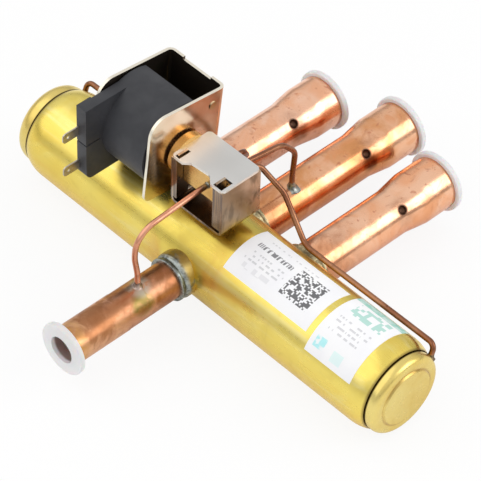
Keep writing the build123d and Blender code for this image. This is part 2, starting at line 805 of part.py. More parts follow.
def terminal(z):
    """A spade blade that stands out of the terminal block."""
    with BuildPart() as blade:
        with BuildSketch(cross_at(blade_x - blade_t / 2)):
            with Locations((-(blade_reach + block_front - blade_embed) / 2, z)):
                spade = Rectangle(blade_out + blade_embed, blade_width)
            fillet(spade.vertices().group_by(Axis.X)[0], blade_corner)
            with Locations((-blade_reach + blade_hole_inset, z)):
                Circle(blade_hole_r, mode=Mode.SUBTRACT)
        extrude(amount=blade_t)
    return blade


for place, rise in blade_rise.items():
    save(terminal(pilot_z + rise), f"{place}_terminal")

tilt = radians(yoke_tilt)
yoke_plane = Plane(origin=at(0, 0, coil_z), x_dir=(1, 0, 0), z_dir=(0, sin(tilt), cos(tilt)))
cheek_plane = Plane(
    origin=at(-yoke_left, 0, coil_z), x_dir=(0, cos(tilt), -sin(tilt)), z_dir=(1, 0, 0)
)
with BuildPart() as yoke:
    with BuildSketch(yoke_plane):
        with BuildLine() as strap:
            FilletPolyline(
                (-yoke_left + yoke_t / 2, -yoke_front),
                (-yoke_left + yoke_t / 2, yoke_back - yoke_t / 2),
                (-yoke_right - yoke_t / 2, yoke_back - yoke_t / 2),
                (-yoke_right - yoke_t / 2, -yoke_front),
                radius=bend_r + yoke_t / 2,
            )
        trace(strap.line, line_width=yoke_t)
    extrude(amount=yoke_half, both=True)
    with BuildSketch(cheek_plane) as cheek:
        with Locations(((yoke_back - yoke_front) / 2, 0)):
            Rectangle(yoke_front + yoke_back, 2 * yoke_half)
        fillet(cheek.vertices().group_by(Axis.X)[0].sort_by(Axis.Y)[-1], yoke_corner_r)
        fillet(cheek.vertices().sort_by(Axis.Y)[:2].sort_by(Axis.X)[0], yoke_foot_r)
    extrude(amount=yoke_length, mode=Mode.INTERSECT)
    with BuildSketch(cross_at(-yoke_left, 0, pilot_z)):
        Circle(stem_r + slide_gap)
    extrude(amount=yoke_length, mode=Mode.SUBTRACT)
    notch_start, notch_end = yoke_notch
    with BuildSketch(yoke_plane.offset(yoke_half - yoke_notch_depth)):
        with Locations((-yoke_left + (notch_start + notch_end) / 2, yoke_back - yoke_t / 2)):
            Rectangle(notch_end - notch_start, 2 * yoke_t)
    extrude(amount=2 * yoke_notch_depth, mode=Mode.SUBTRACT)
    with BuildSketch(cheek_plane.offset(yoke_length)):
        with Locations((yoke_back - dimple_back, yoke_half - dimple_drop)):
            Circle(dimple_r)
    extrude(amount=dimple_rise)
    with BuildSketch(cheek_plane.offset(yoke_length - yoke_t)):
        with Locations((yoke_back - dimple_back, yoke_half - dimple_drop)):
            Circle(dimple_r - dimple_rise)
    extrude(amount=dimple_rise, mode=Mode.SUBTRACT)
save(yoke, "yoke")

with BuildPart() as coil_screw:
    with BuildSketch(cross_at(-yoke_left, 0, pilot_z)):
        Circle(coil_screw_head_r + coil_washer)
    extrude(amount=-coil_washer_t)
    with BuildSketch(cross_at(-yoke_left - coil_washer_t, 0, pilot_z)):
        RegularPolygon(coil_screw_head_r, 6)
    extrude(amount=-coil_screw_head)
    with BuildSketch(cross_at(-yoke_left, 0, pilot_z)):
        Circle(coil_screw_r)
    extrude(amount=coil_screw_depth)
save(coil_screw, "coil_screw")


# ---- capillary tubes ----
def capillary(points, radii):
    """A capillary along straight runs joined by bends."""
    with BuildPart() as tube:
        with BuildLine() as route:
            FilletPolyline(*[at(*p) for p in points], radius=radii)
        with BuildSketch(Plane(origin=route.line @ 0, z_dir=route.line % 0)):
            Circle(capillary_r)
            Circle(capillary_bore_r, mode=Mode.SUBTRACT)
        sweep(path=route.line)
    return tube


tap_y = pilot_square_half - tap_depth
wall_sink = tap_depth / 2
above_point = (entry_point[0] - entry_rise * entry_way[1], entry_point[1] - entry_rise * entry_way[2])
run_r = body_r + run_clear

discharge_run = [
    (pilot_tap_x["discharge"], -tap_y, pilot_z),
    (pilot_tap_x["discharge"], -bracket_half - 2.2, pilot_z),
    (1.0, -discharge_tap_y - 1.3, pilot_z - 4.5),
    (0.0, -discharge_tap_y - 2.1, discharge_shank_r + 22.0),
    (0.0, -discharge_tap_y, discharge_shank_r + 9.0),
    (0.0, -discharge_tap_y, discharge_shank_r - wall_sink),
]
suction_run = [
    (pilot_tap_x["suction"], tap_y, pilot_z),
    (pilot_tap_x["suction"], bracket_half + 4.2, pilot_z),
    (3.0, suction_tap[1] - 9.0, pilot_z - 4.5),
    (3.2, suction_tap[1] + 1.0, port_r + 25.5),
    (*suction_tap, port_r + 8.5),
    (*suction_tap, port_r - 2 * wall_sink),
]
right_run = [
    (pilot_tap_x["right"], tap_y, pilot_z),
    (pilot_tap_x["right"], bracket_half + 8.2, pilot_z),
    (bracket_right + 2.5, *round_body(run_r + 17.6, 52.2)),
    (port_x["right"], *round_body(run_r, 37.9)),
    (body_right + entry_x, *above_point),
    (body_right + entry_x, *entry_point),
]
left_run = [
    (pilot_tap_x["left"], tap_y, pilot_z),
    (pilot_tap_x["left"], bracket_half + 9.2, pilot_z),
    (-bracket_left + 9.5, *round_body(run_r + 21.8, 51.6)),
    (-bracket_left - 3.5, *round_body(run_r + 6.5, 38.4)),
    (port_x["left"] - 6.0, *round_body(run_r, 35.9)),
    (-body_left - entry_x, *above_point),
    (-body_left - entry_x, *entry_point),
]
save(capillary(discharge_run, [10, 14, 30, 30]), "discharge_capillary")
save(capillary(suction_run, [10, 12, 10, 30]), "suction_capillary")
save(capillary(right_run, [7, 10, 12, 4]), "right_capillary")
save(capillary(left_run, [7, 8, 10, 12, 4]), "left_capillary")


# ---- labels ----
def label(spec, right):
    """A paper label wrapped on the body, between two angles from +Y over +Z, ending at right."""
    start, end = spec["angle"]
    turn = radians(start)
    profile_plane = Plane(
        origin=at(0, 0, 0), x_dir=(1, 0, 0), z_dir=(0, -sin(turn), cos(turn))
    )
    with BuildPart() as sticker:
        with BuildSketch(profile_plane):
            with Locations((right - spec["width"] / 2, body_r + label_t / 2)):
                Rectangle(spec["width"], label_t)
        revolve(axis=body_axis, revolution_arc=end - start)
    return sticker


maker_right = body_right - roll_length - label_end
data_right = maker_right - maker_label["width"] - label_space
save(label(data_label, data_right), "data_label")
save(label(maker_label, maker_right), "maker_label")


# ---- transport caps ----
def transport_cap(origin_point, way, bore_r, rim_r):
    """A moulded cap: a plug that fills the mouth, and a rim that stands over the tube's end."""
    mouth = Plane(origin=origin_point, x_dir=(1, 0, 0), z_dir=way)
    with BuildPart() as cap:
        with BuildSketch(mouth):
            Circle(rim_r)
        extrude(amount=plug_rim_t)
        fillet(cap.edges().filter_by(GeomType.CIRCLE), plug_edge_r)
        with BuildSketch(mouth):
            Circle(bore_r - plug_gap)
        extrude(amount=-plug_depth)
        with BuildSketch(mouth.offset(plug_rim_t)):
            Circle(plug_recess_r)
        extrude(amount=-(plug_depth + plug_rim_t - plug_wall), mode=Mode.SUBTRACT)
    return cap


discharge_rim_r = discharge_r + plug_rim_step["discharge"]
socket_rim_r = socket_r + plug_rim_step["socket"]
save(
    transport_cap((0, 0, 0), (0, -1, 0), discharge_r - discharge_wall, discharge_rim_r),
    "discharge_cap",
)
for port, x in port_x.items():
    mouth_point = at(x, port_reach[port], 0)
    save(
        transport_cap(mouth_point, (0, 1, 0), socket_bore_r + mouth_flare, socket_rim_r),
        f"{port}_port_cap",
    )
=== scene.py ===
import math

import bmesh
import bpy
from mathutils import Euler, Matrix, Vector, noise


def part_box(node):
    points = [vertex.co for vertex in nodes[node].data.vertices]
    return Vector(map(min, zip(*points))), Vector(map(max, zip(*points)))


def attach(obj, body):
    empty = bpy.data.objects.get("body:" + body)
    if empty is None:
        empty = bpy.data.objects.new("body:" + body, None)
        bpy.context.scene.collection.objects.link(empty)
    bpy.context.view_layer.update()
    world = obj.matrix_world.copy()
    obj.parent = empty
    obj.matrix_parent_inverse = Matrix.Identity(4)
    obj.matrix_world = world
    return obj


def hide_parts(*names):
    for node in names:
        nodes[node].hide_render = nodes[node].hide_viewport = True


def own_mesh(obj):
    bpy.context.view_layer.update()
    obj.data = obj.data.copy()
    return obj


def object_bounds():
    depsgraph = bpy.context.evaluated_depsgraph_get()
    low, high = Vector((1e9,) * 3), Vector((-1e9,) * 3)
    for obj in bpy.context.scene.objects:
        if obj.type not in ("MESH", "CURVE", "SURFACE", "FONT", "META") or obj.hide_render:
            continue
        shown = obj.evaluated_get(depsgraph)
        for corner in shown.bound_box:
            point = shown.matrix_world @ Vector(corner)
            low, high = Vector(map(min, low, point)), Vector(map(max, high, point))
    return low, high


# A four way reversing valve, finished and lit round its CAD frame. The body tube lies along X,
# the discharge tube points to -Y, the three ports point to +Y and the pilot valve is on top.

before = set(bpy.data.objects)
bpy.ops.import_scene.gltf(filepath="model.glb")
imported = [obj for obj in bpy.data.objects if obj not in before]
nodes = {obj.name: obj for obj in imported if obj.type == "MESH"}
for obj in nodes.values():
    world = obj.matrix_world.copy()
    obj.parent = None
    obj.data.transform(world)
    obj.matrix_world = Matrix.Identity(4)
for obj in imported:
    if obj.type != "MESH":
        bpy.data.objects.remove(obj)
cad_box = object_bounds()

MM = 0.001
BODY = "valve_body"
PORTS = ("left", "suction", "right")
SIDES = {"left": -1, "right": 1}  # which way along X each end of the body faces

# ---- measures from the body's axis, as the source of the solids has them ----
CAPILLARY_R = 1.6 * MM
TAP_X = {"discharge": 2.0 * MM, "left": -4.0 * MM, "suction": 3.0 * MM, "right": 8.0 * MM}
TAP_FACE = 8.8 * MM              # y of the pilot body's faces, where the capillaries join it
DISCHARGE_TAP_Y = 56.2 * MM      # the front capillary's joint on the discharge tube
SUCTION_TAP = (2.8 * MM, 54.0 * MM)  # x and y of a capillary's joint on the suction port
ENTRY_PAST = 2.6 * MM            # where the end capillaries meet the cap heads, past the tube
ENTRY_POINT = (20.4 * MM, 10.2 * MM)  # y and z of the same place
ENTRY_LEAN = math.radians(20)    # how far they lean back from the vertical there
PLATEAU_R = {"left": 15.2 * MM, "right": 16.5 * MM}  # raised faces of the end caps
RECESS_R = 8.0 * MM              # recess of the transport caps
SPRING_WIRE_R = 0.35 * MM
SPRING_TURNS = 4

# ---- fineness of the meshes made here ----
FILLET_ROUNDS, FILLET_STEPS = 28, 7
COIL_STEPS, WIRE_SIDES = 28, 10  # rings to a turn of the spring, sides to its wire

# ---- fillets of braze: radius of the foot, height, and how far it is set into the face ----
DISCHARGE_FILLET = (4.6 * MM, 3.4 * MM, 0.4 * MM)
SUCTION_FILLET = (4.8 * MM, 4.2 * MM, 0.6 * MM)
TAP_FILLET = (3.0 * MM, 1.8 * MM, 0.2 * MM)
ENTRY_FILLET = (2.9 * MM, 2.0 * MM, -2.0 * MM)
FILLET_SKIRT = 0.9 * MM          # the foot goes on this far below the face
FILLET_FLARE, FILLET_RISE = 1.8, 1.6  # powers of its curve outwards and upwards
FILLET_LUMPS = 0.25              # how much of its size its lumps add or take
LUMPS_ROUND, LUMPS_UP = 1.6, 1.5  # how often the lumps change round a fillet, and up it
RING_OVER_TUBE = 2.1 * MM        # the suction braze ring's top stands this far over its tube

# ---- tints of the finishes ----
WHITE = (1.0, 1.0, 1.0)
BRASS = {
    "gold": (0.88, 0.71, 0.17),
    "deep": (0.84, 0.62, 0.11),
    "cloud": (0.90, 0.78, 0.28),
    "pale streak": (0.93, 0.84, 0.42),
    "warm streak": (0.84, 0.58, 0.11),
    # painted reflection of the floor: warm orange towards the bottom
    "underside": (0.92, 0.60, 0.12),
    "heated": (0.62, 0.38, 0.10),
    "torched": (0.84, 0.46, 0.12),
    # painted shade and reflection round the bracket's foot
    "olive": (0.58, 0.47, 0.09),
    "stain": (0.55, 0.42, 0.10),
    # painted shade in the groove at each end of the tube
    "rolled end shade": (0.24, 0.16, 0.05),
}
CAP_BRASS = {
    "turned": (0.84, 0.68, 0.23),
    "deep": (0.78, 0.58, 0.16),
    "stain": (0.5, 0.36, 0.1),
    # painted shade at the plateau's step and in the groove
    "edge": (0.45, 0.27, 0.08),
    "groove": (0.13, 0.09, 0.03),
}
PORT_TINTS = {
    "left": ((0.95, 0.62, 0.46), (0.90, 0.47, 0.28)),
    "suction": ((0.88, 0.50, 0.31), (0.72, 0.32, 0.13)),
    "right": ((0.95, 0.57, 0.38), (0.90, 0.43, 0.23)),
}
SCORCH = {"left": 0.6, "suction": 0.92, "right": 0.15}
SCUFF = {"left": 0.45, "suction": 0.75, "right": 0.45}
PORT_COPPER = {
    # painted reflection: darker and deeper orange towards the bottom
    "underside": (0.70, 0.24, 0.08),
    "fleck": (0.56, 0.20, 0.11),
    "blush": (0.80, 0.34, 0.15),
    "burnt": (0.42, 0.15, 0.06),
    "stain": (0.45, 0.17, 0.08),
    "scuff": (0.36, 0.14, 0.06),
    "scorch": (0.17, 0.055, 0.02),
    # painted shade in the punched dents
    "punched": (0.09, 0.045, 0.03),
    "mouth": (0.40, 0.16, 0.08),
}
DISCHARGE_COPPER = {
    "brown": (0.70, 0.36, 0.21),
    "deep": (0.42, 0.17, 0.075),
    "sized": (0.80, 0.50, 0.28),
    "amber": (0.62, 0.32, 0.08),
    "root": (0.38, 0.14, 0.07),
    "salmon": (0.86, 0.48, 0.34),
    "flux": (0.25, 0.19, 0.055),
    "patch": (0.38, 0.155, 0.065),
    "tinned": (0.62, 0.56, 0.46),
    "stain": (0.30, 0.12, 0.06),
}
BRIGHT_COPPER = {
    "salmon": (0.78, 0.38, 0.25),
    "deep": (0.62, 0.27, 0.16),
    "stain": (0.30, 0.12, 0.07),
    "tinned": (0.30, 0.26, 0.20),
}
ZINC = {
    "cream": (0.86, 0.68, 0.52),
    "copper": (0.66, 0.47, 0.33),
    "green": (0.66, 0.66, 0.46),
    "pink": (0.80, 0.50, 0.42),
    "front": (0.84, 0.80, 0.62),
    "dimple": (0.52, 0.50, 0.26),
    # painted shade inside the bend
    "inside": (0.025, 0.022, 0.02),
    # painted highlight on the edges
    "edge_highlight": (0.92, 0.88, 0.76),
}
NICKEL = {
    "satin": (0.70, 0.69, 0.67),
    "dull": (0.64, 0.63, 0.61),
    # painted highlight on the edges
    "edge_highlight": (0.90, 0.88, 0.84),
    # tinted brown, a painted reflection
    "reflected_brown": (0.60, 0.49, 0.38),
    "brown": (0.38, 0.26, 0.17),
    "streak": (0.16, 0.13, 0.12),
    "scratch": (0.17, 0.12, 0.08),
    # painted shade inside the channel
    "inside": (0.10, 0.08, 0.065),
}
BRAZE_TINTS = {
    "braze": (0.50, 0.52, 0.48),
    "braze_collar": (0.42, 0.46, 0.44),
    "braze_pink": (0.58, 0.44, 0.37),
    "braze_yellow": (0.62, 0.52, 0.30),
    "braze_dark": (0.30, 0.22, 0.13),
}
BRAZE_ON_BRASS = (0.58, 0.42, 0.12)
MILKY = ((0.98, 0.97, 0.98), (0.95, 0.94, 0.96))
# painted shade in the caps' recess, a dark copper brown
RECESS_SHADE = (0.30, 0.17, 0.14)
PAPER = ((0.96, 0.96, 0.97), (0.91, 0.91, 0.94))
INK = {
    "black": (0.035, 0.035, 0.04),
    "bar": (0.06, 0.06, 0.07),
    "grey": (0.2, 0.2, 0.22),
    "soft grey": (0.3, 0.3, 0.34),
    "blue grey": (0.22, 0.22, 0.26),
    "teal": (0.20, 0.62, 0.50),
    "cyan": (0.30, 0.85, 0.88),
    "pale cyan": (0.5, 0.9, 0.86),
}
PLASTIC_TINTS = {
    "coil_plastic": ((0.030, 0.031, 0.036), (0.048, 0.049, 0.055)),
    "slide_plastic": ((0.08, 0.075, 0.07), (0.12, 0.11, 0.10)),
    "seal_plastic": ((0.72, 0.70, 0.66), (0.80, 0.78, 0.74)),
}
FLOOR_TINTS = ((0.93, 0.93, 0.93), (0.95, 0.95, 0.95))

# ---- marks on the surfaces ----
INK_EDGE = 0.15 * MM             # half the width of a printed field's soft edge
ROW_STRIDE = 7.3                 # sets each row's dashes apart from the next row's
TOOL_PITCH = 0.45 * MM           # from ring to ring of the tool marks on the end caps
ROLLED_END_SHADE = 1.6 * MM            # how far the painted shade reaches in from each rolled end of the body
PLATEAU_EDGE_SHADE = (0.7 * MM, 1.3 * MM)  # dull ring of painted shade at the step: past the plateau's radius, half its width
STOP_FROM_MOUTH = {"left": 32.3 * MM, "suction": 36.1 * MM, "right": 35.8 * MM}
STOP_REACH = 13.5 * MM * math.sqrt(0.5)  # x and z of the punched tube stops, from the port's axis
SCORCH_FROM_STOP = (3 * MM, 1 * MM, -5 * MM)
SCORCH_SWAY, FLUX_SWAY = 8 * MM, 14 * MM  # how uneven the edges of these stains are
BURNT_LENGTH = 40 * MM           # of the ports, from the body
MOUTH_EDGE = 1.2 * MM            # of the ports, dulled where they were cut
FLUX_PLACE = (8.5 * MM, -4 * MM, 7 * MM)  # y from the capillary's joint, x and z from the axis
SALMON_PLACE = (28 * MM, 16 * MM)  # from the discharge tube's mouth, and how far it goes
SALMON_SIDE = (-2 * MM, 3 * MM)  # x where the salmon side gives way to the brown one
SIZED_END = (30 * MM, 37 * MM)   # from the discharge tube's mouth, where its paler end stops
AMBER_LENGTH = 13 * MM           # of the discharge tube, from its mouth
BRASSY_BRAZE = (5 * MM, 1 * MM)  # before the body's front, where the collar turns brassy
DIMPLE = (21.2 * MM, 73.5 * MM)  # y and z of the round dimple in the yoke's right cheek
ZINC_FRONT = 20 * MM             # how far the cheeks' front is paler
CHEEK_EDGE = (12 * MM, 16 * MM)  # what faces forwards before this depth is the cheeks' sheared edge, given a painted highlight
YOKE_BACK = (10 * MM, 12 * MM)   # and what does so behind this, past the axis, is the inside, given painted shade
FACES_IN = (-3 * MM, 0.0)        # x times the way a sheet faces along X: below 0 it faces inwards
BRACKET_FLOOR = (3 * MM, 4 * MM)  # over the bracket's underside, well above its sheet
BRACKET_FRONT = (0.0, 5 * MM)    # y from the axis: what faces back before this is the inside, given painted shade
RECESS_EDGE = 0.5 * MM           # of the transport caps' recess, round it
RECESS_DEEP = (1.5 * MM, 3 * MM)  # from the cap's face, where the painted shade in the recess starts and is full

# how far marks reach: whole up to the first distance, gone at the second
TORCHED = (14 * MM, 34 * MM)     # round the root of the discharge tube
BRACKET_FOOT_SHADE = (14 * MM, 40 * MM)       # painted shade and reflection round the pilot bracket's foot
SCUFFED = (3 * MM, 11 * MM)      # round the punched stops
SCORCHED = (3 * MM, 8 * MM)
# painted shade in the punched dents of the tube stops
PUNCHED_SHADE = (2.6 * MM, 3.9 * MM)
FLUXED = (3.5 * MM, 8.5 * MM)
TINNED = (4 * MM, 9 * MM)        # round the capillary's joint on the discharge tube
TINNED_END = (3 * MM, 6.5 * MM)  # of the front capillary, from the pilot body
GROOVE_SHADE = (0.9 * MM, 1.6 * MM)    # painted shade between the body's end and the end cap's head
DIMPLED = (2.2 * MM, 3.2 * MM)

# plain metals, by name: (tint, what it drifts to, stain), least roughness, waves of the drawn
# lines to the metre along each axis, amount of wear, waves of the drift to the metre, nodes
# with this finish
PLAIN_METALS = {
    "seat_brass": (
        ((0.72, 0.56, 0.24), (0.66, 0.48, 0.18), (0.4, 0.3, 0.1)),
        0.25, (9.0, 700.0, 700.0), 0.3, 30.0, ["valve_seat"],
    ),
    "pilot_brass": (
        ((0.80, 0.52, 0.20), (0.72, 0.42, 0.13), (0.4, 0.22, 0.06)),
        0.22, (9.0, 700.0, 700.0), 0.3, 30.0, ["pilot_body"],
    ),
    "capillary_brown": (
        ((0.40, 0.19, 0.10), (0.24, 0.095, 0.05), (0.10, 0.04, 0.025)),
        0.24, (400.0, 400.0, 400.0), 0.8, 50.0, [port + "_capillary" for port in PORTS],
    ),
    "stainless": (
        ((0.62, 0.62, 0.62), (0.56, 0.55, 0.54), (0.3, 0.3, 0.3)),
        0.28, (9.0, 900.0, 900.0), 0.3, 30.0,
        ["left_piston_screw", "right_piston_screw", "pilot_needle", "plunger_tube", "carriage"],
    ),
    "magnet_steel": (
        ((0.55, 0.55, 0.56), (0.5, 0.49, 0.48), (0.3, 0.28, 0.26)),
        0.3, (9.0, 900.0, 900.0), 0.3, 30.0, ["fixed_core", "pilot_plunger"],
    ),
    "tinned_brass": (
        ((0.60, 0.56, 0.48), (0.52, 0.46, 0.36), (0.26, 0.22, 0.16)),
        0.34, (900.0, 20.0, 900.0), 0.3, 30.0, ["coil_screw", "lower_terminal", "upper_terminal"],
    ),
    "spring_steel": (
        ((0.5, 0.5, 0.52), (0.44, 0.44, 0.46), (0.2, 0.2, 0.22)),
        0.3, (900.0, 900.0, 900.0), 0.3, 30.0, ["return_spring", "slide_spring"],
    ),
    "piston_metal": (
        ((0.66, 0.64, 0.6), (0.6, 0.57, 0.5), (0.35, 0.32, 0.26)),
        0.3, (900.0, 300.0, 300.0), 0.3, 30.0, ["left_piston", "right_piston"],
    ),
}

# ---- stage, lamps and camera ----
FLOOR_HALF, FLOOR_CELLS = 6.0, 8
FLOOR_GAP = 0.2 * MM             # from the lowest solid down to the floor
FLOOR_SEEN, FLOOR_MIRRORED = 0.88, 0.15  # how much of its white is seen, and mirrored
SKY_LIT = [(0.0, 0.66), (0.4, 0.72), (1.0, 0.84)]
SKY_MIRRORED = [(0.0, 0.42), (0.12, 0.46), (0.38, 0.82), (1.0, 0.88)]
LAMPS = {                        # place from the body's middle, width and height, power
    "key": ((-0.6, -0.9, 1.25), (2.8, 2.1), 9.5),
    "side": ((1.1, 0.74, 0.78), (1.0, 0.9), 6.5),
}
CAMERA_PLACE = (0.8013, -0.7826, 1.1523)  # from the body's middle
CAMERA_TURN = (44.312, -1.4552, 46.4648)  # degrees about X, Y and Z
CAMERA_LENS, CAMERA_SENSOR, CAMERA_NEAR = 224.07, 36.0, 0.05
CAMERA_SHIFT = (-0.00085, 0.00276)

# ---- places taken from the frame ----
tube_low, tube_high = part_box("body_tube")
axis_y = (tube_low.y + tube_high.y) / 2
axis_z = (tube_low.z + tube_high.z) / 2
body_r = (tube_high.z - tube_low.z) / 2
floor_z = cad_box[0][2]
tube_end = {"left": tube_low.x, "right": tube_high.x}


# ---------------------------------------------------------------- shader helpers
class Tree:
    """Short calls for the nodes used here, in one node tree."""

    def __init__(self, tree):
        self.tree = tree

    def put(self, value, socket):
        """Links what a node gives, or writes a constant on the socket."""
        if isinstance(value, bpy.types.NodeSocket):
            self.tree.links.new(value, socket)
        else:
            socket.default_value = value

    def node(self, kind, inputs=(), **settings):
        """Adds a node with its settings, and fills the sockets that inputs names."""
        made = self.tree.nodes.new(kind)
        for key, value in settings.items():
            setattr(made, key, value)
        for key, value in dict(inputs).items():
            self.put(value, made.inputs[key])
        return made

    def math(self, operation, *values):
        return self.node("ShaderNodeMath", enumerate(values), operation=operation).outputs[0]

    def plus(self, a, b):
        return self.math("ADD", a, b)

    def minus(self, a, b):
        return self.math("SUBTRACT", a, b)

    def times(self, result, *factors):
        for factor in factors:
            result = self.math("MULTIPLY", result, factor)
        return result

    def most(self, result, *others):
        for other in others:
            result = self.math("MAXIMUM", result, other)
        return result

    def mix(self, factor, a, b):
        """Colour a, going over to colour b as the factor goes from 0 to 1."""
        a, b = ((*color, 1.0) if isinstance(color, tuple) else color for color in (a, b))
        return self.node("ShaderNodeMix", {0: factor, 6: a, 7: b}, data_type="RGBA").outputs[2]

    def split(self, vector):
        return self.node("ShaderNodeSeparateXYZ", {0: vector}).outputs


class Shader(Tree):
    """A node material whose patterns lie in the object's own axes."""

    def __init__(self, name):
        self.material = bpy.data.materials.new(name)
        self.material.use_nodes = True
        super().__init__(self.material.node_tree)
        self.bsdf = self.tree.nodes["Principled BSDF"]
        coord = self.node("ShaderNodeTexCoord").outputs
        self.coord = coord["Object"]
        self.normal = coord["Normal"]

    def axes(self):
        """The place on the surface, in the object's own axes."""
        return self.split(self.coord)

    def facing(self):
        """The way the surface faces, in the object's own axes."""
        return self.split(self.normal)

    def noise(self, scale, detail, rough, distortion=0.0, vector=None):
        """Noise with so many waves to the metre, in the object's axes unless told otherwise."""
        inputs = {
            "Vector": vector or self.coord, "Scale": scale, "Detail": detail,
            "Roughness": rough, "Distortion": distortion,
        }
        return self.node("ShaderNodeTexNoise", inputs).outputs["Fac"]

    def stretched(self, waves, detail=3.0, distortion=0.0):
        """Noise drawn out along an axis: so many waves to the metre along each."""
        mapping = self.node("ShaderNodeMapping", {"Vector": self.coord, "Scale": waves})
        return self.noise(1.0, detail, 0.6, distortion, mapping.outputs["Vector"])

    def span(self, value, low, high, to_low=0.0, to_high=1.0):
        """Goes smoothly from to_low to to_high while the value goes from low to high."""
        inputs = {
            "Value": value, "From Min": low, "From Max": high, "To Min": to_low, "To Max": to_high,
        }
        made = self.node("ShaderNodeMapRange", inputs, interpolation_type="SMOOTHSTEP")
        return made.outputs["Result"]

    def fade(self, value, start, end, amount=1.0):
        """The amount up to start, falling smoothly to 0 at end."""
        return self.span(value, start, end, amount, 0.0)

    def near(self, value, centre, reach):
        """1 at a plane across one axis, falling smoothly to 0 at reach from it."""
        return self.fade(self.math("ABSOLUTE", self.minus(value, centre)), 0.0, reach)

    def distance(self, axes, place):
        """How far the surface is from a place, along the axes given."""
        total = None
        for axis, centre in zip(axes, place):
            square = self.math("POWER", self.math("ABSOLUTE", self.minus(axis, centre)), 2.0)
            total = square if total is None else self.plus(total, square)
        return self.math("SQRT", total)

    def uneven(self, value, pattern, reach):
        """A distance made uneven by a noise, by up to half the reach either way."""
        return self.plus(value, self.times(self.minus(pattern, 0.5), reach))

    def tinge(self, color, where, amount, tint):
        """The colour with some of a tint over it where a mask says."""
        return self.mix(self.times(where, amount), color, tint)

    def lined(self, roughness, lines):
        """A roughness that goes a little up and down with the drawn lines."""
        return self.plus(roughness, self.times(self.span(lines, 0.3, 0.7, -1.0, 1.0), 0.03))

    def bump(self, height, strength, depth):
        inputs = {"Strength": strength, "Distance": depth, "Height": height}
        return self.node("ShaderNodeBump", inputs).outputs["Normal"]

    def finish(self, color, roughness, normal, **constants):
        """Fills the shader's sockets and gives the material."""
        for key, value in (("Base Color", color), ("Roughness", roughness), ("Normal", normal)):
            self.put(value, self.bsdf.inputs[key])
        for key, value in constants.items():
            self.bsdf.inputs[key.replace("_", " ")].default_value = value
        return self.material


# ---------------------------------------------------------------- materials
def metal(name, tints, rough, waves, wear, patch):
    """A drawn or rolled metal: its tint drifts, with stains, specks and drawn lines."""
    tint, warm, dark = tints
    s = Shader(name)
    lines = s.stretched(waves, detail=2.0)
    drift = s.noise(patch, 3.0, 0.5)
    stain = s.noise(patch * 4.5, 5.0, 0.62, distortion=0.6)
    specks = s.noise(patch * 40, 3.0, 0.6)
    color = s.mix(s.span(drift, 0.38, 0.68), tint, warm)
    color = s.tinge(color, s.span(stain, 0.55, 0.78), wear, dark)
    color = s.tinge(color, s.span(specks, 0.62, 0.78), 0.35 * wear, dark)
    roughness = s.lined(s.span(stain, 0.35, 0.8, rough, rough + 0.16), lines)
    height = s.plus(s.times(lines, 0.5), s.times(specks, 0.5))
    return s.finish(color, roughness, s.bump(height, 0.12, 0.12 * MM), Metallic=1.0)


def plastic(name, rough, **constants):
    """A moulded plastic: fine eroded grain, faint flow marks and rubbed spots."""
    tint, light = PLASTIC_TINTS[name]
    s = Shader(name)
    flow = s.noise(45.0, 3.0, 0.55)
    grain = s.noise(2600.0, 3.0, 0.6)
    rub = s.noise(150.0, 4.0, 0.65)
    color = s.mix(s.span(flow, 0.3, 0.7), tint, light)
    color = s.tinge(color, s.span(rub, 0.6, 0.8), 0.25, light)
    roughness = s.span(rub, 0.3, 0.75, rough - 0.05, rough + 0.1)
    return s.finish(color, roughness, s.bump(grain, 0.25, 0.06 * MM), **constants)


def body_brass():
    """Drawn brass with a satin shine and a painted warm reflection below, browned by heat round
    the brazed ports.
    """
    s = Shader("body_brass")
    x, y, z = s.axes()
    lines = s.stretched((9.0, 700.0, 700.0))
    streaks = s.stretched((8.0, 150.0, 150.0))
    drift = s.noise(14.0, 3.0, 0.5, distortion=0.4)
    cloud = s.noise(38.0, 4.0, 0.55, distortion=0.8)
    stain = s.noise(85.0, 5.0, 0.6, distortion=0.8)
    specks = s.noise(1500.0, 3.0, 0.55)
    color = s.mix(s.span(drift, 0.4, 0.7), BRASS["gold"], BRASS["deep"])
    color = s.tinge(color, s.span(cloud, 0.5, 0.75), 0.5, BRASS["cloud"])
    color = s.mix(s.span(streaks, 0.54, 0.70, 0.0, 0.4), color, BRASS["pale streak"])
    color = s.mix(s.fade(streaks, 0.30, 0.46, 0.4), color, BRASS["warm streak"])
    # painted reflection: warmer orange towards the bottom, as if lit from the floor
    under = s.fade(z, axis_z - body_r, axis_z + 0.3 * body_r)
    color = s.tinge(color, under, 0.7, BRASS["underside"])
    heat = s.span(y, axis_y + 0.5 * body_r, axis_y + body_r, 0.0, 0.55)
    color = s.mix(s.times(heat, s.span(stain, 0.3, 0.6)), color, BRASS["heated"])
    from_root = s.distance((x, y), (0.0, axis_y - body_r))
    torch = s.times(s.fade(from_root, *TORCHED), s.span(cloud, 0.4, 0.62))
    color = s.tinge(color, torch, 0.65, BRASS["torched"])
    # painted shade and a painted reflection of the bracket and coil: olive round the bracket's
    # foot
    low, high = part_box("pilot_bracket")
    from_foot = s.distance((x, y), ((low.x + high.x) / 2, (low.y + high.y) / 2))
    foot = s.times(s.fade(from_foot, *BRACKET_FOOT_SHADE, 0.8), s.span(cloud, 0.25, 0.55))
    color = s.mix(foot, color, BRASS["olive"])
    color = s.tinge(color, s.span(stain, 0.56, 0.8), 0.22, BRASS["stain"])
    # painted shade in the groove at each rolled end of the tube
    end_shade = s.most(s.near(x, tube_low.x, ROLLED_END_SHADE), s.near(x, tube_high.x, ROLLED_END_SHADE))
    color = s.tinge(color, end_shade, 0.8, BRASS["rolled end shade"])
    roughness = s.lined(s.span(stain, 0.35, 0.8, 0.27, 0.38), lines)
    height = s.plus(s.times(lines, 0.5), s.times(specks, 0.2))
    return s.finish(color, roughness, s.bump(height, 0.02, 0.1 * MM), Metallic=1.0)


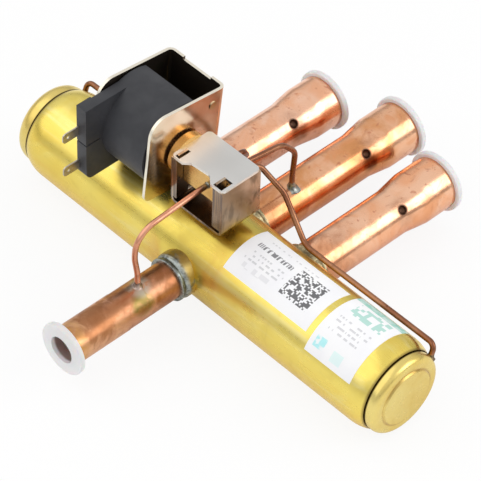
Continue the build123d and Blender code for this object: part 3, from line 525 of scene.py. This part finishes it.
def cap_brass(side):
    """Turned brass with concentric tool marks; the groove and the plateau's edge are dull, with
    painted shade.
    """
    s = Shader("cap_brass_" + side)
    x, y, z = s.axes()
    off_axis = s.distance((y, z), (axis_y, axis_z))
    rings = s.math("SINE", s.times(off_axis, 2 * math.pi / TOOL_PITCH))
    drift = s.noise(40.0, 3.0, 0.5)
    stain = s.noise(160.0, 4.0, 0.6)
    color = s.mix(s.span(drift, 0.35, 0.7), CAP_BRASS["turned"], CAP_BRASS["deep"])
    color = s.tinge(color, s.span(stain, 0.58, 0.8), 0.25, CAP_BRASS["stain"])
    # painted shade along the step at the plateau's edge
    edge = s.near(off_axis, PLATEAU_R[side] + PLATEAU_EDGE_SHADE[0], PLATEAU_EDGE_SHADE[1])
    color = s.tinge(color, s.times(edge, s.span(drift, 0.2, 0.6)), 0.75, CAP_BRASS["edge"])
    # painted shade in the groove between the tube's end and the cap's head
    past_tube = s.times(s.minus(x, tube_end[side]), SIDES[side])
    groove = s.fade(past_tube, *GROOVE_SHADE)
    color = s.tinge(color, groove, 0.85, CAP_BRASS["groove"])
    roughness = s.most(s.span(stain, 0.3, 0.8, 0.26, 0.4), s.times(groove, 0.7))
    normal = s.bump(s.plus(rings, s.times(stain, 3.0)), 0.06, 0.05 * MM)
    return s.finish(color, roughness, normal, Metallic=1.0)


def port_copper(port):
    """Bright drawn copper, browned by the torch at its root; painted darker reflection below,
    painted shade in the punched stop.
    """
    s = Shader("copper_" + port)
    x, y, z = s.axes()
    low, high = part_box(port + "_port_tube")
    mouth = high.y
    lines = s.stretched((500.0, 10.0, 500.0))
    drift = s.noise(38.0, 4.0, 0.55, distortion=0.8)
    stain = s.noise(120.0, 5.0, 0.6, distortion=0.6)
    flecks = s.noise(230.0, 3.0, 0.55, distortion=0.4)
    blush = s.noise(60.0, 3.0, 0.5, distortion=1.0)
    color = s.mix(s.span(drift, 0.35, 0.65), *PORT_TINTS[port])
    # painted reflection: darker, deeper orange towards the bottom of the tube
    under = s.fade(z, low.z, axis_z + 0.15 * (high.z - low.z), 0.85)
    color = s.mix(under, color, PORT_COPPER["underside"])
    color = s.tinge(color, s.span(flecks, 0.60, 0.70), 0.65, PORT_COPPER["fleck"])
    color = s.mix(s.span(blush, 0.52, 0.66, 0.0, 0.55), color, PORT_COPPER["blush"])
    burnt = s.fade(s.minus(y, axis_y + body_r), 0.0, BURNT_LENGTH)
    burnt = s.times(burnt, s.span(stain, 0.25, 0.6))
    color = s.tinge(color, burnt, 0.7, PORT_COPPER["burnt"])
    color = s.tinge(color, s.span(stain, 0.56, 0.74), 0.5, PORT_COPPER["stain"])
    middle = (low.x + high.x) / 2
    stop = (middle + STOP_REACH, mouth - STOP_FROM_MOUTH[port], axis_z + STOP_REACH)
    from_stop = s.distance((x, y, z), stop)
    scuffed = s.times(s.fade(from_stop, *SCUFFED), s.span(stain, 0.3, 0.6))
    color = s.tinge(color, scuffed, SCUFF[port], PORT_COPPER["scuff"])
    from_scorch = s.distance((x, y, z), [a + b for a, b in zip(stop, SCORCH_FROM_STOP)])
    scorch = s.fade(s.uneven(from_scorch, drift, SCORCH_SWAY), *SCORCHED, SCORCH[port])
    color = s.mix(scorch, color, PORT_COPPER["scorch"])
    # painted shade, nearly black, in the punched dent of each tube stop
    punched = s.fade(from_stop, *PUNCHED_SHADE)
    color = s.tinge(color, punched, 0.92, PORT_COPPER["punched"])
    mouth_edge = s.span(y, mouth - MOUTH_EDGE, mouth, 0.0, 0.6)
    color = s.mix(mouth_edge, color, PORT_COPPER["mouth"])
    roughness = s.most(s.span(stain, 0.3, 0.8, 0.16, 0.32), s.times(punched, 0.5))
    normal = s.bump(s.plus(lines, s.times(stain, 0.6)), 0.12, 0.15 * MM)
    return s.finish(color, s.lined(roughness, lines), normal, Metallic=1.0)


def discharge_copper():
    """The discharge tube: mottled brown copper, olive flux stain round the capillary joint."""
    s = Shader("copper_discharge")
    x, y, z = s.axes()
    low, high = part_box("discharge_tube")
    tap_y = axis_y - DISCHARGE_TAP_Y
    lines = s.stretched((500.0, 10.0, 500.0))
    drift = s.noise(45.0, 4.0, 0.55, distortion=0.8)
    stain = s.noise(130.0, 5.0, 0.62, distortion=0.7)
    patches = s.noise(75.0, 4.0, 0.55, distortion=0.5)
    color = s.mix(s.span(drift, 0.38, 0.62), DISCHARGE_COPPER["brown"], DISCHARGE_COPPER["deep"])
    sized = s.fade(y, low.y + SIZED_END[0], low.y + SIZED_END[1])
    sized = s.times(sized, s.span(drift, 0.3, 0.6, 0.5, 0.1))
    color = s.mix(sized, color, DISCHARGE_COPPER["sized"])
    amber = s.times(s.fade(y, low.y, low.y + AMBER_LENGTH, 0.8), s.span(stain, 0.3, 0.6))
    color = s.mix(amber, color, DISCHARGE_COPPER["amber"])
    root = s.span(y, axis_y - 2.1 * body_r, axis_y - 1.3 * body_r, 0.0, 0.7)
    color = s.mix(s.times(root, s.span(drift, 0.3, 0.6)), color, DISCHARGE_COPPER["root"])
    salmon = s.times(s.fade(x, *SALMON_SIDE, 0.8), s.span(stain, 0.4, 0.6, 1.0, 0.2))
    salmon = s.times(salmon, s.near(y, low.y + SALMON_PLACE[0], SALMON_PLACE[1]))
    color = s.mix(salmon, color, DISCHARGE_COPPER["salmon"])
    flux_x, flux_y, flux_z = FLUX_PLACE
    from_flux = s.distance((x, y, z), (flux_x, tap_y + flux_y, axis_z + flux_z))
    flux = s.fade(s.uneven(from_flux, drift, FLUX_SWAY), *FLUXED, 0.95)
    flux = s.times(flux, s.span(stain, 0.3, 0.5, 0.6, 1.0))
    color = s.mix(flux, color, DISCHARGE_COPPER["flux"])
    color = s.tinge(color, s.span(patches, 0.46, 0.63), 0.8, DISCHARGE_COPPER["patch"])
    from_tap = s.distance((x, y, z), (0.0, tap_y, high.z))
    tinned = s.times(s.fade(from_tap, *TINNED), s.span(stain, 0.35, 0.5))
    color = s.tinge(color, tinned, 0.75, DISCHARGE_COPPER["tinned"])
    color = s.tinge(color, s.span(stain, 0.6, 0.8), 0.5, DISCHARGE_COPPER["stain"])
    roughness = s.span(stain, 0.3, 0.8, 0.3, 0.5)
    normal = s.bump(s.plus(lines, s.times(stain, 0.8)), 0.14, 0.15 * MM)
    return s.finish(color, roughness, normal, Metallic=1.0)


def tinned_capillary():
    """The front capillary: salmon copper, its end grey from the braze at the pilot body."""
    s = Shader("capillary_bright")
    drift = s.noise(50.0, 3.0, 0.5)
    stain = s.noise(220.0, 5.0, 0.62, distortion=0.6)
    color = s.mix(s.span(drift, 0.35, 0.65), BRIGHT_COPPER["salmon"], BRIGHT_COPPER["deep"])
    color = s.tinge(color, s.span(stain, 0.55, 0.78), 0.6, BRIGHT_COPPER["stain"])
    from_pilot = s.minus(axis_y - TAP_FACE, s.axes()[1])
    color = s.tinge(color, s.fade(from_pilot, *TINNED_END), 0.85, BRIGHT_COPPER["tinned"])
    roughness = s.span(stain, 0.3, 0.8, 0.24, 0.42)
    return s.finish(color, roughness, s.bump(stain, 0.12, 0.15 * MM), Metallic=1.0)


def braze(name, brassy=False):
    """Silver braze: dull, lumpy, with darker flux in its hollows; brassy towards the body."""
    s = Shader(name)
    tint = BRAZE_TINTS[name]
    lumps = s.noise(420.0, 4.0, 0.6, distortion=0.5)
    fine = s.noise(1800.0, 3.0, 0.6)
    color = s.mix(s.span(lumps, 0.35, 0.65), tuple(0.35 * level for level in tint), tint)
    if brassy:
        front = axis_y - body_r
        start, end = (front - before for before in BRASSY_BRAZE)
        close = s.span(s.axes()[1], start, end, 0.0, 0.9)
        close = s.times(close, s.span(s.noise(110.0, 3.0, 0.5), 0.42, 0.56))
        color = s.mix(close, color, BRAZE_ON_BRASS)
    roughness = s.span(fine, 0.3, 0.7, 0.28, 0.55)
    normal = s.bump(s.plus(lumps, s.times(fine, 0.3)), 0.5, 0.4 * MM)
    return s.finish(color, roughness, normal, Metallic=1.0)


def yellow_zinc():
    """Yellow zinc plating, cream to copper: painted highlight on sheared edges, nearly black
    painted shade inside the bend.
    """
    s = Shader("zinc_sheet")
    x, y, z = s.axes()
    nx, ny, nz = s.facing()
    low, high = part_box("yoke")
    drift = s.noise(26.0, 2.0, 0.45, distortion=0.5)
    tint = s.noise(48.0, 2.0, 0.45, distortion=0.8)
    rolled = s.stretched((40.0, 40.0, 900.0), detail=2.0)
    color = s.mix(s.span(drift, 0.35, 0.65), ZINC["cream"], ZINC["copper"])
    color = s.tinge(color, s.span(tint, 0.55, 0.72), 0.4, ZINC["green"])
    color = s.tinge(color, s.fade(tint, 0.28, 0.42), 0.35, ZINC["pink"])
    color = s.mix(s.fade(y, low.y, low.y + ZINC_FRONT, 0.6), color, ZINC["front"])
    from_dimple = s.distance((y, z), (axis_y + DIMPLE[0], axis_z + DIMPLE[1]))
    pressed = s.times(s.fade(from_dimple, *DIMPLED), s.span(nx, 0.3, 0.6))
    color = s.tinge(color, pressed, 0.6, ZINC["dimple"])
    # painted shade, nearly black, on the faces inside the bend
    outward = s.times(s.minus(x, (low.x + high.x) / 2), nx)
    back = s.span(y, axis_y + YOKE_BACK[0], axis_y + YOKE_BACK[1])
    back = s.times(s.fade(ny, -0.9, -0.6), back)
    inside = s.most(s.fade(outward, *FACES_IN), back)
    color = s.tinge(color, inside, 0.93, ZINC["inside"])
    # painted highlight on the edges facing up, down and forwards
    front_edge = s.fade(y, low.y + CHEEK_EDGE[0], low.y + CHEEK_EDGE[1])
    front_edge = s.times(s.fade(ny, -0.85, -0.6), front_edge)
    edge_highlight = s.most(s.span(s.math("ABSOLUTE", nz), 0.6, 0.85), front_edge)
    color = s.tinge(color, edge_highlight, 0.85, ZINC["edge_highlight"])
    roughness = s.span(rolled, 0.3, 0.7, 0.17, 0.25)
    roughness = s.most(roughness, s.times(edge_highlight, 0.36), s.times(inside, 0.5))
    return s.finish(color, roughness, s.bump(rolled, 0.04, 0.1 * MM), Metallic=1.0)


def nickel_cover():
    """The cover's satin nickel: even, with a painted highlight on its sheared edges."""
    s = Shader("nickel_cover")
    brushed = s.stretched((60.0, 1400.0, 60.0), detail=2.0)
    drift = s.noise(30.0, 2.0, 0.5)
    color = s.mix(s.span(drift, 0.35, 0.65), NICKEL["satin"], NICKEL["dull"])
    # painted highlight on the plate's edges
    edge_highlight = s.fade(s.math("ABSOLUTE", s.facing()[2]), 0.3, 0.7)
    color = s.tinge(color, edge_highlight, 0.8, NICKEL["edge_highlight"])
    roughness = s.span(brushed, 0.3, 0.7, 0.34, 0.42)
    return s.finish(color, roughness, s.bump(brushed, 0.05, 0.1 * MM), Metallic=1.0)


def nickel_bracket():
    """Bright nickel, tinted brown as a painted reflection: scratched sides, streaked returns,
    painted shade inside.
    """
    s = Shader("nickel_bracket")
    x, y, z = s.axes()
    nx, ny, nz = s.facing()
    low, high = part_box("pilot_bracket")
    floor_top = s.fade(z, low.z + BRACKET_FLOOR[0], low.z + BRACKET_FLOOR[1])
    front = s.fade(y, axis_y + BRACKET_FRONT[0], axis_y + BRACKET_FRONT[1])
    rolled = s.stretched((700.0, 40.0, 40.0), detail=2.0)
    drift = s.noise(45.0, 3.0, 0.5, distortion=0.6)
    streak = s.stretched((420.0, 6.0, 14.0))
    scratch = s.stretched((60.0, 150.0, 60.0), distortion=0.25)
    # painted reflection: the nickel tinted brown
    color = s.mix(s.span(drift, 0.35, 0.65), NICKEL["reflected_brown"], NICKEL["brown"])
    returns = s.fade(ny, -0.85, -0.6)
    color = s.tinge(color, s.times(returns, s.span(streak, 0.42, 0.56)), 0.85, NICKEL["streak"])
    sides = s.span(s.math("ABSOLUTE", nx), 0.6, 0.85)
    color = s.tinge(color, s.times(sides, s.span(scratch, 0.47, 0.66)), 0.7, NICKEL["scratch"])
    # painted shade on the faces inside the channel
    outward = s.times(s.minus(x, (low.x + high.x) / 2), nx)
    inside = s.most(
        s.fade(outward, *FACES_IN),
        s.times(s.span(nz, 0.6, 0.85), floor_top),
        s.times(s.span(ny, 0.6, 0.85), front),
    )
    color = s.tinge(color, inside, 0.8, NICKEL["inside"])
    roughness = s.plus(s.span(drift, 0.3, 0.7, 0.16, 0.26), s.times(sides, 0.1))
    return s.finish(color, roughness, s.bump(rolled, 0.05, 0.1 * MM), Metallic=1.0)


def cap_plastic(node):
    """Milky polyethylene: thin and rubbed, with painted shade in its recess."""
    s = Shader(node + "_plastic")
    x, y, z = s.axes()
    low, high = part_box(node)
    haze = s.noise(90.0, 3.0, 0.5)
    rub = s.noise(500.0, 4.0, 0.6)
    color = s.mix(s.span(haze, 0.3, 0.7), *MILKY)
    off_axis = s.distance((x, z), ((low.x + high.x) / 2, (low.z + high.z) / 2))
    face, way = (low.y, 1.0) if node == "discharge_cap" else (high.y, -1.0)
    # painted shade, dark copper brown, deep in the recess
    deep = s.span(s.times(s.minus(y, face), way), *RECESS_DEEP)
    recess = s.times(s.fade(off_axis, RECESS_R, RECESS_R + RECESS_EDGE), deep)
    color = s.tinge(color, recess, 0.9, RECESS_SHADE)
    roughness = s.span(rub, 0.3, 0.7, 0.32, 0.5)
    return s.finish(
        color, roughness, s.bump(rub, 0.12, 0.1 * MM), Transmission_Weight=0.25,
        Subsurface_Weight=0.3, Subsurface_Scale=0.004, IOR=1.5,
    )


class Print:
    """Ink masks on a label, placed in mm along the body and in degrees or mm round it."""

    def __init__(self, s, node):
        self.s = s
        x, y, z = s.axes()
        turn = s.math("ARCTAN2", s.minus(z, axis_z), s.minus(y, axis_y))
        self.along = s.minus(x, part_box(node)[0].x)
        self.round = s.times(turn, body_r)

    def block(self, along, degrees):
        """1 inside a field, between two places along the label and two angles from +Y over +Z."""
        s = self.s
        fields = ((self.along, along, MM), (self.round, degrees, math.radians(1) * body_r))
        steps = []
        for value, (low, high), unit in fields:
            for edge, start, end in ((low * unit, 0.0, 1.0), (high * unit, 1.0, 0.0)):
                steps.append(s.span(value, edge - INK_EDGE, edge + INK_EDGE, start, end))
        return s.times(*steps)

    def cell(self, along, around, seed):
        """A place for a noise to be read at, apart for each seed."""
        return self.s.node("ShaderNodeCombineXYZ", {0: along, 1: around, 2: seed}).outputs[0]

    def dashes(self, length, pitch, width, share, start, seed):
        """Lines along the body, one every pitch round it, and what breaks them into dashes."""
        s = self.s
        place = s.math("FRACT", s.math("DIVIDE", s.minus(self.round, start * MM), pitch * MM))
        line = s.math("LESS_THAN", place, width)
        row = s.math("FLOOR", s.math("DIVIDE", self.round, pitch * MM))
        row = s.times(row, ROW_STRIDE)
        spot = self.cell(s.math("DIVIDE", self.along, length * MM), row, seed)
        return line, s.math("LESS_THAN", s.noise(1.0, 0.0, 0.5, vector=spot), share)

    def squares(self, width, height, share, seed):
        """Plain squares scattered over a grid of cells, filling about this share of it."""
        s = self.s
        column = s.math("FLOOR", s.math("DIVIDE", self.along, width * MM))
        row = s.math("FLOOR", s.math("DIVIDE", self.round, height * MM))
        spot = {"Vector": self.cell(column, row, seed)}
        drawn = s.node("ShaderNodeTexWhiteNoise", spot, noise_dimensions="3D").outputs["Value"]
        return s.math("LESS_THAN", drawn, share)


def label_paper(node, name, ink):
    """Coated white paper with what the ink function adds to its colour."""
    s = Shader(name)
    fibre = s.noise(900.0, 4.0, 0.6)
    tone = s.noise(60.0, 3.0, 0.5)
    color = ink(s, Print(s, node), s.mix(s.span(tone, 0.3, 0.7), *PAPER))
    return s.finish(color, s.span(fibre, 0.3, 0.7, 0.38, 0.5), s.bump(fibre, 0.1, 0.04 * MM))


def data_ink(s, p, color):
    """A block of plain squares and plain grey bars."""
    block = s.times(p.block((35, 54.8), (79, 119)), p.squares(0.95, 0.95, share=0.52, seed=3.0))
    color = s.tinge(color, block, 0.88, INK["black"])
    head = s.times(p.block((6, 31), (84, 90.5)), p.squares(0.62, 20, share=0.6, seed=1.0))
    color = s.tinge(color, head, 0.8, INK["bar"])
    top = p.dashes(length=1.6, pitch=2.6, width=0.4, share=0.5, start=0.3, seed=6.0)
    top = s.times(p.block((8, 44), (70, 76)), *top)
    color = s.tinge(color, top, 0.32, INK["grey"])
    bars = p.dashes(length=1.5, pitch=2.7, width=0.42, share=0.53, start=0.0, seed=4.2)
    bars = s.times(p.block((6, 32), (96, 112)), *bars)
    color = s.tinge(color, bars, 0.36, INK["grey"])
    foot = s.times(p.block((8, 27), (115, 122)), p.squares(2.6, 3.0, share=0.5, seed=8.0))
    return s.tinge(color, foot, 0.2, INK["soft grey"])


def maker_ink(s, p, color):
    """A teal band, plain teal squares, thin grey bars and two pale fields."""
    mottle = s.span(s.noise(260.0, 2.0, 0.5), 0.35, 0.65, 0.45, 0.85)
    color = s.mix(s.times(p.block((-1, 40), (40, 60)), mottle), color, INK["teal"])
    shape = s.times(p.block((6, 28), (63, 87)), p.squares(2.2, 2.2, share=0.52, seed=5.0))
    color = s.tinge(color, shape, 0.62, INK["teal"])
    bars = p.dashes(length=1.5, pitch=3.0, width=0.4, share=0.52, start=0.0, seed=2.4)
    bars = s.times(p.block((5, 27), (92, 120)), *bars)
    color = s.tinge(color, bars, 0.36, INK["blue grey"])
    patch = s.times(p.block((3, 10), (128, 142)), s.span(mottle, 0.4, 0.7))
    color = s.tinge(color, patch, 0.75, INK["cyan"])
    return s.tinge(color, p.block((16, 23), (132, 145)), 0.4, INK["pale cyan"])


# ---------------------------------------------------------------- finish of each node
metals = {}
finishes = {}
for name, (*look, wearers) in PLAIN_METALS.items():
    metals[name] = metal(name, *look)
    finishes.update(dict.fromkeys(wearers, metals[name]))
brazes = {name: braze(name, brassy=name == "braze_collar") for name in BRAZE_TINTS}
finishes.update({
    "body_tube": body_brass(),
    "discharge_tube": discharge_copper(),
    "discharge_capillary": tinned_capillary(),
    "discharge_cap": cap_plastic("discharge_cap"),
    "discharge_collar": brazes["braze_collar"],
    "data_label": label_paper("data_label", "label_paper_data", data_ink),
    "maker_label": label_paper("maker_label", "label_paper_maker", maker_ink),
    "coil_body": plastic("coil_plastic", 0.5, Specular_IOR_Level=0.4),
    "yoke": yellow_zinc(),
    "pilot_bracket": nickel_bracket(),
    "bracket_cover": nickel_cover(),
    "slide_block": plastic("slide_plastic", 0.35),
})
finishes["bracket_saddle"] = finishes["pilot_bracket"]
seal = plastic("seal_plastic", 0.4)
for port in PORTS:
    finishes[port + "_port_tube"] = port_copper(port)
    finishes[port + "_braze_ring"] = brazes["braze_yellow"]
    finishes[port + "_port_cap"] = cap_plastic(port + "_port_cap")
for side in SIDES:
    finishes[side + "_end_cap"] = cap_brass(side)
    finishes[side + "_piston_seal"] = seal
for name, obj in nodes.items():
    obj.data.materials.clear()
    obj.data.materials.append(finishes[name])


# ---------------------------------------------------------------- pieces
def piece(name, mesh_maker, material):
    """Makes a mesh in place, gives it its finish and lets it ride the valve's body."""
    made = bmesh.new()
    mesh_maker(made)
    bmesh.ops.recalc_face_normals(made, faces=made.faces)
    mesh = bpy.data.meshes.new(name)
    made.to_mesh(mesh)
    made.free()
    for polygon in mesh.polygons:
        polygon.use_smooth = True
    obj = bpy.data.objects.new(name, mesh)
    bpy.context.scene.collection.objects.link(obj)
    mesh.materials.append(material)
    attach(obj, BODY)
    return obj


def fillet(name, place, way, size, material, seed):
    """A lumpy fillet of braze round a capillary that stands along way on a face at place."""
    outer, height, set_in = size
    turn = Vector(way).to_track_quat("Z", "Y").to_matrix().to_4x4()
    centre = [at - set_in * part for at, part in zip(place, way)]
    placed = Matrix.Translation(centre) @ turn

    def make(made):
        rings = []
        for i in range(FILLET_ROUNDS):
            angle = 2 * math.pi * i / FILLET_ROUNDS
            cos, sin = math.cos(angle), math.sin(angle)
            ring = []
            for j in range(FILLET_STEPS + 1):
                share = j / FILLET_STEPS
                spot = Vector((cos, sin, share * LUMPS_UP)) * LUMPS_ROUND + Vector((seed, 0, 0))
                swell = 1 + FILLET_LUMPS * noise.noise(spot)
                flare = (outer - CAPILLARY_R) * (1 - share) ** FILLET_FLARE
                radius = CAPILLARY_R + flare * swell
                rise = (height * share ** FILLET_RISE - FILLET_SKIRT * (1 - share)) * swell
                point = Vector((radius * cos, radius * sin, rise))
                ring.append(made.verts.new(placed @ point))
            rings.append(ring)
        for a, b in zip(rings, rings[1:] + rings[:1]):
            for j in range(FILLET_STEPS):
                made.faces.new((a[j], b[j], b[j + 1], a[j + 1]))

    piece(name, make, material)


def coil_spring(node):
    """The same helix as the node's, as a mesh."""
    low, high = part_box(node)
    radius = (high.z - low.z) / 2 - SPRING_WIRE_R
    length = high.x - low.x - 2 * SPRING_WIRE_R
    axis = Vector((0, (low.y + high.y) / 2, (low.z + high.z) / 2))
    steps = COIL_STEPS * SPRING_TURNS

    def make(made):
        rings = []
        for i in range(steps + 1):
            angle = 2 * math.pi * SPRING_TURNS * i / steps
            outward = Vector((0, math.cos(angle), math.sin(angle)))
            along = low.x + SPRING_WIRE_R + length * i / steps
            centre = Vector((along, 0, 0)) + radius * outward + axis
            ring = []
            for j in range(WIRE_SIDES):
                turn = 2 * math.pi * j / WIRE_SIDES
                offset = math.cos(turn) * outward + math.sin(turn) * Vector((1, 0, 0))
                ring.append(made.verts.new(centre + SPRING_WIRE_R * offset))
            rings.append(ring)
        for a, b in zip(rings, rings[1:]):
            for j in range(WIRE_SIDES):
                k = (j + 1) % WIRE_SIDES
                made.faces.new((a[j], a[k], b[k], b[j]))
        made.faces.new(rings[0])
        made.faces.new(rings[-1])

    return make


low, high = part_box("discharge_tube")
fillet(
    "discharge_joint_braze", (0.0, axis_y - DISCHARGE_TAP_Y, axis_z + (high.z - low.z) / 2),
    (0, 0, 1), DISCHARGE_FILLET, brazes["braze_pink"], seed=2.0,
)
ring_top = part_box("suction_braze_ring")[1].z
fillet(
    "suction_joint_braze",
    (SUCTION_TAP[0], axis_y + SUCTION_TAP[1], ring_top - RING_OVER_TUBE),
    (0, 0, 1), SUCTION_FILLET, brazes["braze"], seed=5.0,
)
low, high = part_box("pilot_body")
for name, x in TAP_X.items():
    way = -1 if name == "discharge" else 1
    face = (x, axis_y + way * TAP_FACE, (low.z + high.z) / 2)
    fillet(name + "_tap_braze", face, (0, way, 0), TAP_FILLET, brazes["braze"], seed=x / MM)
for side, way in SIDES.items():
    entry = (tube_end[side] + way * ENTRY_PAST, axis_y + ENTRY_POINT[0], axis_z + ENTRY_POINT[1])
    lean = (0, math.sin(ENTRY_LEAN), math.cos(ENTRY_LEAN))
    fillet(side + "_entry_braze", entry, lean, ENTRY_FILLET, brazes["braze_dark"], seed=7.0 * way)

low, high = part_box("return_spring")
spring_piece = piece(
    "return_spring_coils", coil_spring("return_spring"), metals["spring_steel"]
)
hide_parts("return_spring")
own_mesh(spring_piece)


# ---------------------------------------------------------------- stage, light and camera
def floor():
    """A plain pale floor that is seen white and keeps the valve's shadow."""
    s = Shader("floor")
    tone = s.noise(3.0, 2.0, 0.5)
    color = s.mix(s.span(tone, 0.3, 0.7), *FLOOR_TINTS)
    normal = s.bump(s.noise(900.0, 3.0, 0.55), 0.02, 0.1 * MM)
    material = s.finish(color, 0.9, normal, Specular_IOR_Level=0.0)
    glow = s.node("ShaderNodeEmission", {"Strength": 1.0})
    path = s.node("ShaderNodeLightPath").outputs
    seen = s.most(
        s.times(s.most(path["Is Camera Ray"], path["Is Transmission Ray"]), FLOOR_SEEN),
        s.times(path["Is Glossy Ray"], FLOOR_MIRRORED),
    )
    inputs = {0: seen, 1: s.bsdf.outputs[0], 2: glow.outputs[0]}
    whitened = s.node("ShaderNodeMixShader", inputs).outputs[0]
    s.put(whitened, s.tree.nodes["Material Output"].inputs["Surface"])
    made = bmesh.new()
    bmesh.ops.create_grid(made, x_segments=FLOOR_CELLS, y_segments=FLOOR_CELLS, size=FLOOR_HALF)
    mesh = bpy.data.meshes.new("floor")
    made.to_mesh(mesh)
    made.free()
    obj = bpy.data.objects.new("floor", mesh)
    obj.location = (0, axis_y, floor_z - FLOOR_GAP)
    bpy.context.scene.collection.objects.link(obj)
    mesh.materials.append(material)


def sky(t, height, levels):
    """A grey level that changes with height above the horizon."""
    made = t.node("ShaderNodeValToRGB", {0: height})
    ramp = made.color_ramp
    while len(ramp.elements) < len(levels):
        ramp.elements.new(0.5)
    for element, (place, level) in zip(ramp.elements, levels):
        element.position = place
        element.color = (level, level, level, 1)
    return made.outputs[0]


def studio():
    """A pale studio: softly lit from above, seen and mirrored as a white surround."""
    world = bpy.data.worlds.new("studio")
    bpy.context.scene.world = world
    world.use_nodes = True
    t = Tree(world.node_tree)
    height = t.split(t.node("ShaderNodeTexCoord").outputs["Generated"])[2]
    path = t.node("ShaderNodeLightPath").outputs
    level = t.mix(path["Is Glossy Ray"], sky(t, height, SKY_LIT), sky(t, height, SKY_MIRRORED))
    level = t.mix(path["Is Transmission Ray"], level, WHITE)
    level = t.mix(path["Is Camera Ray"], level, WHITE)
    t.put(level, t.tree.nodes["Background"].inputs["Color"])


def soft_lamp(name, place, size, power):
    """A large soft lamp that points at the body's middle."""
    lamp = bpy.data.lights.new(name, "AREA")
    lamp.shape = "RECTANGLE"
    lamp.size, lamp.size_y = size
    lamp.energy = power
    obj = bpy.data.objects.new(name, lamp)
    obj.location = (place[0], axis_y + place[1], place[2])
    aim = Vector((0.0, axis_y, 0.0)) - Vector(obj.location)
    obj.rotation_euler = aim.to_track_quat("-Z", "Y").to_euler()
    bpy.context.scene.collection.objects.link(obj)


def photo_camera():
    """The camera that takes the photo's view."""
    data = bpy.data.cameras.new("camera")
    data.sensor_width = CAMERA_SENSOR
    data.lens = CAMERA_LENS
    data.shift_x, data.shift_y = CAMERA_SHIFT
    data.clip_start = CAMERA_NEAR
    camera = bpy.data.objects.new("camera", data)
    camera.location = (CAMERA_PLACE[0], axis_y + CAMERA_PLACE[1], axis_z + CAMERA_PLACE[2])
    camera.rotation_euler = Euler([math.radians(angle) for angle in CAMERA_TURN], "XYZ")
    bpy.context.scene.collection.objects.link(camera)
    bpy.context.scene.camera = camera


floor()
studio()
for name, lamp in LAMPS.items():
    soft_lamp(name, *lamp)
photo_camera()
bpy.context.scene.view_settings.view_transform = "Standard"
